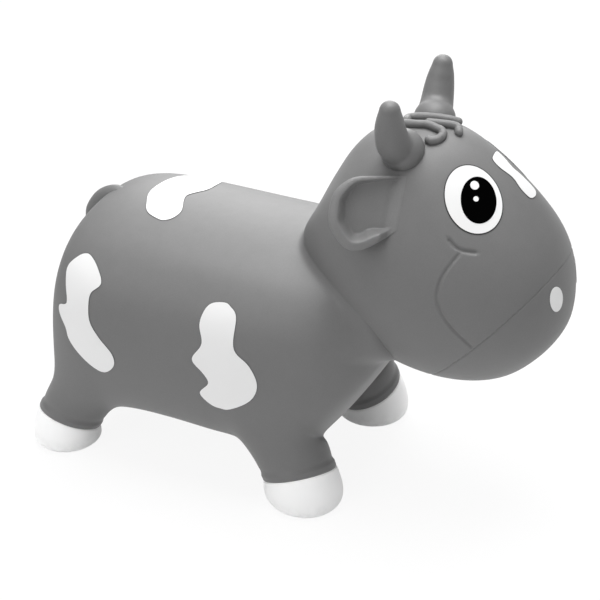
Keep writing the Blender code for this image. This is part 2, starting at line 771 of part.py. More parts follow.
def film(name, prism, skin, level):
    """A painted film cut by its outline from a thin layer over the skin."""
    low = SEAM_GAP + level * (SEAM_GAP + PAINT)
    outer, inner = offset(skin, low + PAINT), offset(skin, low)
    return combined(name, prism, ("INTERSECT", outer), ("DIFFERENCE", inner))


def face_films(head, tree):
    """Eyes, pupils, glints and nostrils of both sides, and the forehead's spot."""
    glint_halves = [(radius,) * 2 for radius in (UPPER_GLINT_RADIUS, LOWER_GLINT_RADIUS)]
    rows = (
        ("eye_white", EYE_SEAT_SHARES, EYE_OUT, EYE_UP, EYE_HALVES, 0, WHITE_PAINT),
        ("pupil", PUPIL_SEAT_SHARES, EYE_OUT, PUPIL_UP, PUPIL_HALVES, 1, BLACK_PAINT),
        ("glint_upper", UPPER_GLINT_SEAT_SHARES, EYE_OUT, EYE_UP, glint_halves[0], 2, WHITE_PAINT),
        ("glint_lower", LOWER_GLINT_SEAT_SHARES, EYE_OUT, EYE_UP, glint_halves[1], 2, WHITE_PAINT),
        ("nostril", NOSTRIL_SEAT_SHARES, NOSTRIL_OUT, NOSTRIL_UP, NOSTRIL_HALVES, 0, WHITE_PAINT),
    )
    for name, seat, out, up, halves, level, finish in rows:
        place = frame_at(on_head(tree, seat), Vector(up).cross(Vector(out)), Vector(up))
        prism = oval_prism(name + "_oval", place, *halves, FILM_DEPTH)
        right = film(name, prism, head, level)
        piece(name + "_right", right, finish)
        piece(name + "_left", mirrored(right, name + "_mirrored"), finish)
    sideways = Vector((0, 1, 0))
    upward = Vector(FOREHEAD_SPOT_OUT).cross(sideways)
    place = frame_at(on_head(tree, FOREHEAD_SPOT_SEAT_SHARES), sideways, upward)
    prism = outline_prism(
        "brow_outline", FOREHEAD_SPOT_SHARES, FOREHEAD_SPOT_SIZE, place, FILM_DEPTH
    )
    piece("forehead_spot", film("brow", prism, head, 0), WHITE_PAINT)


def trunk_films(trunk):
    """The painted spots of the back and both flanks."""
    ahead, left, up = Vector((1, 0, 0)), Vector((0, 1, 0)), Vector((0, 0, 1))
    rows = (
        ("flank_spot_right", FLANK_SPOT_CENTRE_SHARES, FLANK_SPOT_SIZE, FLANK_SPOT_SHARES, ahead, up),
        ("rear_spot_right", REAR_SPOT_CENTRE_SHARES, REAR_SPOT_SIZE, REAR_SPOT_SHARES, ahead, up),
        ("back_spot", BACK_SPOT_CENTRE_SHARES, BACK_SPOT_SIZE, BACK_SPOT_SHARES, ahead, left),
        (
            "shoulder_spot_left",
            LEFT_SHOULDER_CENTRE_SHARES,
            LEFT_SHOULDER_SIZE,
            LEFT_SPOT_SHARES,
            -ahead,
            up,
        ),
        (
            "haunch_spot_left",
            LEFT_HAUNCH_CENTRE_SHARES,
            LEFT_HAUNCH_SIZE,
            LEFT_SPOT_SHARES,
            ahead,
            -up,
        ),
    )
    for name, (along, side, height), size, shares, right, upward in rows:
        centre = Vector((
            along_trunk(along), side * TRUNK_HALF_WIDTH, TRUNK_MID_Z + height * TRUNK_RISE
        ))
        prism = outline_prism(
            name + "_outline", shares, size, frame_at(centre, right, upward), TRUNK_FILM_DEPTH
        )
        piece(name, film(name, prism, trunk, 0), WHITE_PAINT)


def leg_cutters(name, front):
    """The right leg's zones: its hoof, its sleeve, and both together with a gap round them."""
    foot, hip = leg_line(front)
    axis = leaning(front, 1)
    seam = foot.lerp(hip, HOOF_SEAM_Z / HIP_Z)
    half_gap = axis * (SEAM_GAP / 2)
    below = axis * FAR
    hoof = cylinder(name + "_hoof_zone", seam - half_gap - below, axis, SLEEVE_RADIUS, FAR)
    sleeve = cylinder(name + "_zone", seam + half_gap, axis, SLEEVE_RADIUS, SLEEVE_LENGTH)
    top = seam + half_gap + axis * (SLEEVE_LENGTH + SEAM_GAP)
    both = cylinder(name + "_both_zones", top - below, axis, SLEEVE_RADIUS + SEAM_GAP, FAR)
    return hoof, sleeve, both


def trunk_pieces(outer, inner, head_clear, valve_hole):
    """The upper skin, the belly skin, four leg sleeves and four hooves."""
    level = Vector((0, 0, TRUNK_MID_Z - SQUASH_DROP))
    upward = Vector((0, 0, 1))
    half_gap = upward * (SEAM_GAP / 2)
    floor = half_space("floor_block", Vector((0, 0, 0)), -upward)
    air = combined(
        "air_space", inner, ("DIFFERENCE", half_space("sole_block", upward * SOLE_THICKNESS, -upward))
    )
    shell = combined("trunk_shell", outer, ("DIFFERENCE", air), ("DIFFERENCE", floor))
    upper = combined(
        "upper",
        shell,
        ("INTERSECT", half_space("above", level + half_gap, upward)),
        ("DIFFERENCE", head_clear),
    )
    piece("torso_skin", upper, GREY_VINYL)
    belly_steps = [
        ("INTERSECT", half_space("below", level - half_gap, -upward)),
        ("DIFFERENCE", head_clear),
        ("DIFFERENCE", valve_hole),
    ]
    for end, front in (("front", True), ("rear", False)):
        hoof_zone, sleeve_zone, both = leg_cutters(end, front)
        hoof = combined(end + "_hoof", shell, ("INTERSECT", hoof_zone))
        leg = combined(end + "_leg", shell, ("INTERSECT", sleeve_zone))
        for side in ("right", "left"):
            if side == "left":
                hoof, leg = mirrored(hoof, end + "_hoof_left"), mirrored(leg, end + "_leg_left")
                both = mirrored(both, end + "_both_left")
            piece("hoof_%s_%s" % (end, side), hoof, WHITE_VINYL)
            piece("leg_%s_%s" % (end, side), leg, GREY_VINYL)
            belly_steps.append(("DIFFERENCE", both))
    piece("belly_skin", combined("belly", shell, *belly_steps), GREY_VINYL)


def valve_pieces(trunk):
    """The valve's seat in the belly and the plug in it; returns the hole that they need."""
    tree = BVHTree.FromObject(trunk, bpy.context.evaluated_depsgraph_get())
    below, upward = Vector((along_trunk(VALVE_PLACE_SHARE), 0, 0)), Vector((0, 0, 1))
    skin, _, _, _ = tree.ray_cast(below, upward)
    place = Matrix.Translation(skin)
    seat = turned("seat_turned", VALVE_SEAT_PROFILE, place)
    plug = turned("plug_turned", VALVE_PLUG_PROFILE, place)
    piece("valve_seat", seat, VALVE_PLASTIC)
    piece("valve_plug", plug, VALVE_PLASTIC, skin)
    radius = VALVE_SEAT_PROFILE[5][0] + SEAM_GAP
    return cylinder("valve_hole", below, upward, radius, TRUNK_MID_Z)


def tail_form(trunk_clear):
    """The nub of the tail, cut where it lies on the rump."""
    top = Vector((RUMP_X, 0, TRUNK_MID_Z + TRUNK_RISE))
    places = [top + Vector((along, 0, height)) * TAIL_SIZE for along, height, _ in TAIL_SHARES]
    radii = [share * TAIL_RADIUS for _, _, share in TAIL_SHARES]
    return combined("tail", tube("tail_rope", places, radii, 3, 2), ("DIFFERENCE", trunk_clear))


def main():
    clear_scene()
    make_collections()
    trunk, head = trunk_form(), head_form()
    trunk_air, head_air = offset(trunk, -WALL), offset(head, -WALL)
    trunk_clear, head_clear = offset(trunk, SEAM_GAP), offset(head, SEAM_GAP)
    head_tree = BVHTree.FromObject(head, bpy.context.evaluated_depsgraph_get())

    trunk_pieces(trunk, trunk_air, head_clear, valve_pieces(trunk))
    piece("tail", tail_form(trunk_clear), DARK_GREY_VINYL)

    horn_root = on_head(head_tree, HORN_SEAT_SHARES, HORN_ROOT_RISE)
    ear_root = on_head(head_tree, EAR_SEAT_SHARES, EAR_ROOT_RISE)
    horn, horn_hole = horn_forms(horn_root, head_clear)
    ear, ear_hole = ear_forms(ear_root, head_clear)
    holes = [horn_hole, mirrored(horn_hole, "horn_hole_left")]
    holes += [ear_hole, mirrored(ear_hole, "ear_hole_left")]
    start, forward = snout_plane()
    half_gap = forward * (SEAM_GAP / 2)
    shell = combined("head_shell", head, ("DIFFERENCE", head_air), ("DIFFERENCE", trunk_air))
    front = combined("front", shell, ("INTERSECT", half_space("ahead", start + half_gap, forward)))
    back = combined(
        "back",
        shell,
        ("INTERSECT", half_space("behind", start - half_gap, -forward)),
        *(("DIFFERENCE", hole) for hole in holes),
    )
    piece("snout_skin", front, GREY_VINYL)
    piece("head_skin", back, GREY_VINYL)
    for name, form, root in (("horn", horn, horn_root), ("ear", ear, ear_root)):
        piece(name + "_right", form, DARK_GREY_VINYL, root)
        piece(name + "_left", mirrored(form, name), DARK_GREY_VINYL, across(root))
    for place, curl in zip(("front", "middle", "back"), curl_forms(head_tree, head_clear)):
        piece("forelock_" + place, curl, GREY_VINYL)
    face_films(head, head_tree)
    trunk_films(trunk)

    rear = min(vertex.co.x for vertex in trunk.data.vertices)
    nose = max(vertex.co.x for vertex in head.data.vertices)
    for obj in bpy.data.collections[PARTS].objects:
        obj.location.x -= (rear + nose) / 2


main()
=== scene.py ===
import math
from functools import partial

import bmesh
import bpy
import numpy as np
from mathutils import Matrix, Vector
from mathutils.geometry import delaunay_2d_cdt


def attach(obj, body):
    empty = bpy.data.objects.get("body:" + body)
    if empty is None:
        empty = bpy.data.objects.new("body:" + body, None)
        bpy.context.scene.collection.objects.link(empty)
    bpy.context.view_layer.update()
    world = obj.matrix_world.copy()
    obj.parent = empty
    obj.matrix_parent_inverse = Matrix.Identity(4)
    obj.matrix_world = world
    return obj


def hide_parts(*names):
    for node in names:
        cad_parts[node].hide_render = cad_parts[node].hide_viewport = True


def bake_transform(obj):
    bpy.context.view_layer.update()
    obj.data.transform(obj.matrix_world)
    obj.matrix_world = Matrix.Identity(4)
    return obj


# Bouncy ride-on cow: the looks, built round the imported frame. Metres, +X to the nose, +Y to the
# animal's left, +Z up.
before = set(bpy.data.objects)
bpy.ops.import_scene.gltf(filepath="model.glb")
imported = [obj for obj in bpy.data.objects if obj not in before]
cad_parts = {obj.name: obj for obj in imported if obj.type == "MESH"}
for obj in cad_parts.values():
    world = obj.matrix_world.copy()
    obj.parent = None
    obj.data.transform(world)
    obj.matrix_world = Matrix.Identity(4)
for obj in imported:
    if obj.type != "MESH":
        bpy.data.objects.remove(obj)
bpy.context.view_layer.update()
print("frame loaded:", len(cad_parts), "nodes")

mergeDistance = 0.000002
floorHeight = 0.0


# Meshes from arrays

def newObject(name, points, faces):
    # points is an n x 3 array; faces is a list of arrays of corner numbers, each of one width
    mesh = bpy.data.meshes.new(name)
    mesh.from_pydata(points.tolist(), [], [face for block in faces for face in block.tolist()])
    mesh.polygons.foreach_set("use_smooth", np.ones(len(mesh.polygons), dtype=bool))
    made = bpy.data.objects.new(name, mesh)
    bpy.context.scene.collection.objects.link(made)
    return made


def tidied(made):
    # doubles merged, faces that collapsed dropped, and every face turned outwards
    form = bmesh.new()
    form.from_mesh(made.data)
    bmesh.ops.remove_doubles(form, verts=form.verts, dist=mergeDistance)
    bmesh.ops.dissolve_degenerate(form, edges=form.edges, dist=mergeDistance)
    bmesh.ops.recalc_face_normals(form, faces=form.faces)
    form.to_mesh(made.data)
    form.free()
    made.data.polygons.foreach_set("use_smooth", np.ones(len(made.data.polygons), dtype=bool))
    return made


def settled(made):
    # the same object with its modifiers applied
    graph = bpy.context.evaluated_depsgraph_get()
    graph.update()
    mesh = bpy.data.meshes.new_from_object(made.evaluated_get(graph))
    made.modifiers.clear()
    made.data = mesh
    mesh.polygons.foreach_set("use_smooth", np.ones(len(mesh.polygons), dtype=bool))
    return made


def vertexArray(mesh, what="co"):
    # the vertices' places, or another value of three numbers that each has, as an n x 3 array
    values = np.empty(len(mesh.vertices) * 3)
    mesh.vertices.foreach_get(what, values)
    return values.reshape(-1, 3)


def setVertices(mesh, points):
    mesh.vertices.foreach_set("co", points.ravel())
    mesh.update()


def gridFaces(rows, columns, closed=True):
    # quads between neighbouring rows and columns; a closed grid joins its last column to its first
    width = columns if closed else columns - 1
    row, column = np.meshgrid(np.arange(rows - 1), np.arange(width), indexing="ij")
    following = (column + 1) % columns
    corners = [row * columns + column, row * columns + following,
               (row + 1) * columns + following, (row + 1) * columns + column]
    return np.stack(corners, axis=-1).reshape(-1, 4)


def bsplineWeights(places, count, closed):
    # the four cubic B-spline weights of each place among count control rows
    base = np.floor(places).astype(int)
    t = places - base
    four = [(1 - t) ** 3, 3 * t ** 3 - 6 * t ** 2 + 4, -3 * t ** 3 + 3 * t ** 2 + 3 * t + 1, t ** 3]
    weights = np.zeros((len(places), count))
    for k, share in enumerate(four):
        index = base - 1 + k
        index = index % count if closed else np.clip(index, 0, count - 1)
        np.add.at(weights, (np.arange(len(places)), index), share / 6)
    return weights


def smoothLine(points, count, closed=False):
    # a Catmull-Rom curve through every point, read at count evenly numbered places
    points = np.asarray(points, float)
    if closed:
        padded = np.vstack([points[-1:], points, points[:2]])
        places = np.linspace(0, len(points), count, endpoint=False)
    else:
        padded = np.vstack([2 * points[0] - points[1], points, 2 * points[-1] - points[-2]])
        places = np.linspace(0, len(points) - 1, count)
    base = np.minimum(np.floor(places).astype(int), len(padded) - 4)
    t = (places - base)[:, None]
    a, b, c, d = (padded[base + k] for k in range(4))
    return 0.5 * (2 * b + (c - a) * t + (2 * a - 5 * b + 4 * c - d) * t ** 2
                  + (3 * b - a - 3 * c + d) * t ** 3)


def unit(vectors):
    # each vector divided by its length
    return vectors / np.linalg.norm(vectors, axis=-1, keepdims=True)


def smoothStep(values):
    # 3 v v - 2 v v v of each value, held between 0 and 1
    values = np.clip(values, 0, 1)
    return values * values * (3 - 2 * values)


def sweptTube(name, stations, steps, sides, across, capSteps=8):
    # stations are x, y, z, radius; a circle of that radius is carried along the smooth line through
    # them, and a half ball closes each end
    line = smoothLine(stations, steps)
    centres, radii = line[:, :3], line[:, 3]
    along = unit(np.gradient(centres, axis=0))
    side = unit(np.cross(along, np.asarray(across, float)))
    up = np.cross(side, along)
    turn = np.linspace(0, math.pi / 2, capSteps, endpoint=False)[:, None]
    startCentres = centres[0] - along[0] * radii[0] * np.cos(turn)
    endCentres = centres[-1] + along[-1] * radii[-1] * np.cos(turn[::-1])
    centres = np.vstack([startCentres, centres, endCentres])
    radii = np.concatenate([radii[0] * np.sin(turn[:, 0]), radii, radii[-1] * np.sin(turn[::-1, 0])])
    side = np.vstack([np.repeat(side[:1], capSteps, 0), side, np.repeat(side[-1:], capSteps, 0)])
    up = np.vstack([np.repeat(up[:1], capSteps, 0), up, np.repeat(up[-1:], capSteps, 0)])
    angle = np.linspace(0, 2 * math.pi, sides, endpoint=False)[None, :, None]
    ring = side[:, None] * np.cos(angle) + up[:, None] * np.sin(angle)
    points = centres[:, None] + radii[:, None, None] * ring
    return newObject(name, points.reshape(-1, 3), [gridFaces(len(centres), sides)])


def turnedSurface(name, profile, centre, sides):
    # a closed profile of radius and height, turned about the upright line through centre
    profile = np.asarray(profile, float)
    angle = np.linspace(0, 2 * math.pi, sides, endpoint=False)
    x = profile[:, :1] * np.cos(angle)
    y = profile[:, :1] * np.sin(angle)
    z = np.repeat(profile[:, 1:], sides, axis=1)
    points = np.stack([x, y, z], axis=-1).reshape(-1, 3) + np.asarray(centre)
    return tidied(newObject(name, points, [gridFaces(len(profile), sides)]))


def fused(name, parts, voxel, smoothing):
    # closed forms that overlap, joined into one skin whose inner corners are rounded
    points, faces, start = [], [], 0
    for part in parts:
        form = vertexArray(part.data)
        faces += [[start + v for v in polygon.vertices] for polygon in part.data.polygons]
        points.append(form)
        start += len(form)
        bpy.data.objects.remove(part)
    mesh = bpy.data.meshes.new(name)
    mesh.from_pydata(np.vstack(points).tolist(), [], faces)
    made = bpy.data.objects.new(name, mesh)
    bpy.context.scene.collection.objects.link(made)
    remesh = made.modifiers.new("Join", "REMESH")
    remesh.mode = "VOXEL"
    remesh.voxel_size = voxel
    smooth = made.modifiers.new("Round", "SMOOTH")
    smooth.factor = 0.5
    smooth.iterations = smoothing
    return tidied(settled(made))


# Shader node groups

def socketList(group, direction, sockets):
    for name, kind, value in sockets:
        socket = group.interface.new_socket(name=name, in_out=direction, socket_type="NodeSocket" + kind)
        if value is not None:
            socket.default_value = value


def math2(nodes, links, operation, first, second, clamp=False):
    # one Math node; each of the two inputs is a number or a socket
    node = nodes.new("ShaderNodeMath")
    node.operation = operation
    node.use_clamp = clamp
    for k, value in enumerate((first, second)):
        if isinstance(value, (int, float)):
            node.inputs[k].default_value = value
        else:
            links.new(value, node.inputs[k])
    return node.outputs[0]


def noiseAt(nodes, links, vector, scale, detail, rough):
    # one Noise node on the given places; its scale is a number or a socket
    node = nodes.new("ShaderNodeTexNoise")
    node.inputs["Detail"].default_value = detail
    node.inputs["Roughness"].default_value = rough
    links.new(vector, node.inputs["Vector"])
    if isinstance(scale, (int, float)):
        node.inputs["Scale"].default_value = scale
    else:
        links.new(scale, node.inputs["Scale"])
    return node.outputs["Fac"]


def mixed(nodes, links, share, first, second):
    # a Mix node of two colours, each a colour or a socket
    node = nodes.new("ShaderNodeMix")
    node.data_type = "RGBA"
    colours = [s for s in node.inputs if s.type == "RGBA"]
    links.new(share, node.inputs["Factor"])
    for socket, value in zip(colours, (first, second)):
        if isinstance(value, tuple):
            socket.default_value = value
        else:
            links.new(value, socket)
    return [s for s in node.outputs if s.type == "RGBA"][0]


def greyOf(value):
    return (value, value, value, 1)


skinNoise = {
    # scale, detail and roughness of each noise; the grain's scale is each finish's own
    "slow": (14.0, 3.0, 0.55), "patch": (90.0, 3.0, 0.60), "grain": (2.0, 0.55),
    "middle": 0.5, "slowShare": 0.65, "patchShare": 0.35, "grainMottle": 1.2, "roughSwing": 0.12,
    "grainHeight": 0.7, "patchHeight": 0.3,
}


def mouldedSkinGroup():
    # the fine matt grain of moulded vinyl, its slow mottling, and a dusty bloom on upward faces
    group = bpy.data.node_groups.new("mouldedSkin", "ShaderNodeTree")
    socketList(group, "INPUT", [("Colour", "Color", greyOf(0.2)), ("Dust colour", "Color", greyOf(0.5)),
                                ("Mottle", "Float", 0.06), ("Dust", "Float", 0.06),
                                ("Roughness", "Float", 0.5), ("Grain scale", "Float", 1500.0)])
    socketList(group, "OUTPUT", [("Colour", "Color", None), ("Roughness", "Float", None),
                                 ("Height", "Float", None)])
    nodes, links = group.nodes, group.links
    calc = partial(math2, nodes, links)
    given, put = nodes.new("NodeGroupInput"), nodes.new("NodeGroupOutput")
    place = nodes.new("ShaderNodeTexCoord").outputs["Object"]
    facing = nodes.new("ShaderNodeSeparateXYZ")
    links.new(nodes.new("ShaderNodeNewGeometry").outputs["Normal"], facing.inputs[0])
    slow = noiseAt(nodes, links, place, *skinNoise["slow"])
    patch = noiseAt(nodes, links, place, *skinNoise["patch"])
    grain = noiseAt(nodes, links, place, given.outputs["Grain scale"], *skinNoise["grain"])

    # the colour's value is 1, plus the mottle times how far the noises stand from their middle
    shade = calc("ADD", calc("MULTIPLY", slow, skinNoise["slowShare"]),
                 calc("MULTIPLY", patch, skinNoise["patchShare"]))
    shade = calc("MULTIPLY", calc("SUBTRACT", shade, skinNoise["middle"]), given.outputs["Mottle"])
    fine = calc("MULTIPLY", given.outputs["Mottle"], skinNoise["grainMottle"])
    fine = calc("MULTIPLY", calc("SUBTRACT", grain, skinNoise["middle"]), fine)
    tint = nodes.new("ShaderNodeHueSaturation")
    links.new(given.outputs["Colour"], tint.inputs["Color"])
    links.new(calc("ADD", calc("ADD", shade, fine), 1.0), tint.inputs["Value"])

    # dust lies in patches where the face looks up
    dust = calc("MULTIPLY", calc("MULTIPLY", facing.outputs["Z"], 1.0, True), patch)
    dust = calc("MULTIPLY", dust, given.outputs["Dust"], True)
    dusty = mixed(nodes, links, dust, tint.outputs["Color"], given.outputs["Dust colour"])
    links.new(dusty, put.inputs["Colour"])

    swing = calc("MULTIPLY", calc("SUBTRACT", slow, skinNoise["middle"]), skinNoise["roughSwing"])
    links.new(calc("ADD", given.outputs["Roughness"], swing), put.inputs["Roughness"])
    height = calc("ADD", calc("MULTIPLY", grain, skinNoise["grainHeight"]),
                  calc("MULTIPLY", patch, skinNoise["patchHeight"]))
    links.new(height, put.inputs["Height"])
    return group


scuffNoise = {"blot": (160.0, 4.0, 0.65), "threshold": 0.42, "contrast": 3.2}


def scuffGroup():
    # grey scuffs and floor dirt that gather low on the hooves
    group = bpy.data.node_groups.new("floorScuffs", "ShaderNodeTree")
    socketList(group, "INPUT", [("Colour", "Color", greyOf(0.8)), ("Dirt colour", "Color", greyOf(0.3)),
                                ("Reach", "Float", 0.02), ("Amount", "Float", 0.3)])
    socketList(group, "OUTPUT", [("Colour", "Color", None), ("Mask", "Float", None)])
    nodes, links = group.nodes, group.links
    calc = partial(math2, nodes, links)
    given, put = nodes.new("NodeGroupInput"), nodes.new("NodeGroupOutput")
    place = nodes.new("ShaderNodeTexCoord").outputs["Object"]
    height = nodes.new("ShaderNodeSeparateXYZ")
    links.new(place, height.inputs[0])
    low = calc("SUBTRACT", 1.0, calc("DIVIDE", height.outputs["Z"], given.outputs["Reach"]), True)
    blot = noiseAt(nodes, links, place, *scuffNoise["blot"])
    blot = calc("MULTIPLY", calc("SUBTRACT", blot, scuffNoise["threshold"]), scuffNoise["contrast"], True)
    mask = calc("MULTIPLY", calc("MULTIPLY", low, blot), given.outputs["Amount"], True)
    scuffed = mixed(nodes, links, mask, given.outputs["Colour"], given.outputs["Dirt colour"])
    links.new(scuffed, put.inputs["Colour"])
    links.new(mask, put.inputs["Mask"])
    return group


skinGroup = mouldedSkinGroup()
dirtGroup = scuffGroup()

finishes = {
    "greyVinyl": dict(grey=0.143, rough=0.50, mottle=0.16, dust=0.04, grain=900.0, bump=0.16),
    # a copy of the grey vinyl, a touch darker: painted shade on the horns and the tail, which are the same
    # skin
    "paintedShadeVinyl": dict(grey=0.140, rough=0.48, mottle=0.16, dust=0.04, grain=900.0, bump=0.16),
    # a copy of the grey vinyl, lighter: painted light on the ears, which are the same skin
    "earVinylPaintedLight": dict(grey=0.165, rough=0.50, mottle=0.16, dust=0.04, grain=900.0, bump=0.16),
    "whiteVinyl": dict(grey=0.93, rough=0.42, mottle=0.03, dust=0.02, grain=1500.0, bump=0.10, scuffs=0.25),
    "whitePaint": dict(grey=0.74, rough=0.40, mottle=0.02, dust=0.02, grain=2200.0, bump=0.06, shine=0.25),
    "blackPaint": dict(grey=0.001, rough=0.60, mottle=0.05, dust=0.0, grain=2200.0, bump=0.05, shine=0.0),
    "outlinePaint": dict(grey=0.030, rough=0.55, mottle=0.05, dust=0.0, grain=2200.0, bump=0.05, shine=0.2),
    # the thin dark rims round the white spots: painted shade along the spots' edges
    "spotRimPaintedShade": dict(grey=0.085, rough=0.50, mottle=0.05, dust=0.0, grain=2200.0, bump=0.05),
    "valvePlastic": dict(grey=0.58, rough=0.36, mottle=0.03, dust=0.03, grain=900.0, bump=0.08),
}
vinylShine = 0.45
bumpDistance = 0.0004


def finishMaterial(name):
    # a Principled shader fed by the grain group and, where asked for, by the scuff group
    look = finishes[name]
    material = bpy.data.materials.new(name)
    material.use_nodes = True
    nodes, links = material.node_tree.nodes, material.node_tree.links
    shader = nodes["Principled BSDF"]
    shader.inputs["Specular IOR Level"].default_value = look.get("shine", vinylShine)
    skin = nodes.new("ShaderNodeGroup")
    skin.node_tree = skinGroup
    skin.inputs["Colour"].default_value = greyOf(look["grey"])
    skin.inputs["Mottle"].default_value = look["mottle"]
    skin.inputs["Dust"].default_value = look["dust"]
    skin.inputs["Roughness"].default_value = look["rough"]
    skin.inputs["Grain scale"].default_value = look["grain"]
    colour = skin.outputs["Colour"]
    if "scuffs" in look:
        dirt = nodes.new("ShaderNodeGroup")
        dirt.node_tree = dirtGroup
        dirt.inputs["Amount"].default_value = look["scuffs"]
        links.new(colour, dirt.inputs["Colour"])
        colour = dirt.outputs["Colour"]
    links.new(colour, shader.inputs["Base Color"])
    links.new(skin.outputs["Roughness"], shader.inputs["Roughness"])
    bump = nodes.new("ShaderNodeBump")
    bump.inputs["Strength"].default_value = look["bump"]
    bump.inputs["Distance"].default_value = bumpDistance
    links.new(skin.outputs["Height"], bump.inputs["Height"])
    links.new(bump.outputs["Normal"], shader.inputs["Normal"])
    return material


materials = {name: finishMaterial(name) for name in finishes}
print("materials ready:", len(materials))


def dressed(made, finish, body=None, nodes=()):
    # a piece gets its finish and slot, the nodes that it stands for, and the body that it rides on
    made.data.materials.clear()
    made.data.materials.append(materials[finish])
    if nodes:
        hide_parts(*nodes)
    if body:
        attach(made, body)
    return made


# The sections that trunk and head share

sectionDegrees = np.array([0, 27, 54, 82, 110, 138, 165, 180, 195, 222, 250, 278, 306, 333], float)


def unitSection(topPower, bottomPower):
    # a rounded square: side and height are powers of the sine and cosine of the angle from the top,
    # and its top and bottom points stand in the middle
    angle = np.radians(sectionDegrees)
    power = 2 / np.where(np.cos(angle) > 0, topPower, bottomPower)
    side = -np.sign(np.sin(angle)) * np.abs(np.sin(angle)) ** power
    height = np.sign(np.cos(angle)) * np.abs(np.cos(angle)) ** power
    side[np.isin(sectionDegrees, (0, 180))] = 0
    return side, height


# Trunk, legs and hooves, one skin

trunk = {
    "rumpX": -0.2414, "length": 0.3351, "midHeight": 0.157,
    "rise": 0.1059, "drop": 0.118, "halfWidth": 0.1287, "powers": (2.4, 3.0),
    # place along the trunk, half width, rise and drop, all as shares; rise and drop are the section's
    # reach above and below the middle height
    "stations": [(0.012, 0.42, 0.40, 0.50), (0.030, 0.73, 0.71, 0.84), (0.0430, 0.89, 0.91, 0.98),
                 (0.1325, 1.01, 0.98, 0.99), (0.2220, 1.03, 1.00, 1.00), (0.435, 1.02, 0.98, 1.00),
                 (0.570, 1.02, 0.96, 1.04), (0.6494, 1.01, 0.96, 1.02), (0.7568, 0.99, 0.95, 1.00),
                 (0.8642, 0.95, 0.93, 0.86), (0.930, 0.90, 0.91, 0.60), (1.030, 0.66, 0.78, 0.14)],
    # the point inside the head where the skin ends: its share of the length, and its height
    "neckEnd": (1.1, 0.200),
    # how far the rump leans forward at the top and back at the bottom, and each station's share of it
    "rumpLean": 0.0149, "leanShares": (1.0, 0.9, 0.5, 0.15),
    "detail": 3, "swell": 0.0009,
}
legs = {
    "stations": {"rear": 2, "front": 7},
    # the section's points that a leg hangs from, outer, middle and inner, on the right and the left
    "columns": {-1: (4, 5, 6), 1: (10, 9, 8)}, "openCells": [4, 5, 8, 9],
    "hipX": {"rear": -0.1969, "front": 0.0123}, "stride": {"rear": -0.0445, "front": 0.0388},
    "hipHeight": 0.085, "hipTrack": 0.085, "footTrack": {"rear": 0.0987, "front": 0.0912},
    "seamHeight": 0.030, "seamLean": {"rear": 20.5, "front": 17.3},
    "seamSlope": {"rear": 0.52, "front": 0.85}, "hoofSlope": {"rear": 0.40, "front": 0.58},
    "girth": {"rear": 0.93, "front": 1.02},
    # height as a share of the seam's, radius, lean as a share of the seam's
    "rings": [(1.85, 0.0395, 1.30), (1.42, 0.0383, 1.12), (1.18, 0.0382, 1.06), (1.08, 0.0388, 1.02),
              (1.00, 0.0393, 1.0), (0.92, 0.0396, 0.96), (0.78, 0.0404, 0.88), (0.42, 0.0420, 0.50),
              (0.08, 0.0388, 0.10), (-0.06, 0.0262, 0.0)],
    # the last ring of the skin, and then the groove at the seam with a lip and a dip above it
    "hoofFrom": 4,
    "grooveDepth": 0.0009, "grooveWidth": 0.0009,
    "lipRise": 0.0007, "lipAt": 0.0056, "lipWidth": 0.0026,
    "dipDepth": 0.0004, "dipAt": 0.0108, "dipWidth": 0.0030,
    # where the relief at the seam ends, and how near the leg's line a hoof's rim lies
    "reliefRadius": 0.062, "reliefFade": 0.010, "reliefTop": 0.090, "rimRadius": 0.060,
}


def legPoint(end, side, share):
    # a point of the leg's line, share 0 at the sole and 1 at the seam, below which it stands more
    # upright
    spread = side * (legs["footTrack"][end] - legs["hipTrack"])
    slope = np.array([legs["stride"][end], spread]) / legs["hipHeight"]
    hip = np.array([legs["hipX"][end], side * legs["hipTrack"]])
    seam = hip + slope * (legs["hipHeight"] - legs["seamHeight"])
    down = (1 - share) * legs["seamHeight"]
    place = seam + slope * down * (legs["hoofSlope"][end] if share < 1 else 1)
    return np.array([*place, legs["seamHeight"] - down])


def legAxis(end, side, leanShare):
    # a ring's upward direction: it leans with the leg and in to the middle
    slope = -legs["stride"][end] / legs["hipHeight"] * legs["seamSlope"][end]
    inward = -side * math.tan(math.radians(legs["seamLean"][end]))
    return unit(np.array([slope * leanShare, inward * leanShare, 1]))


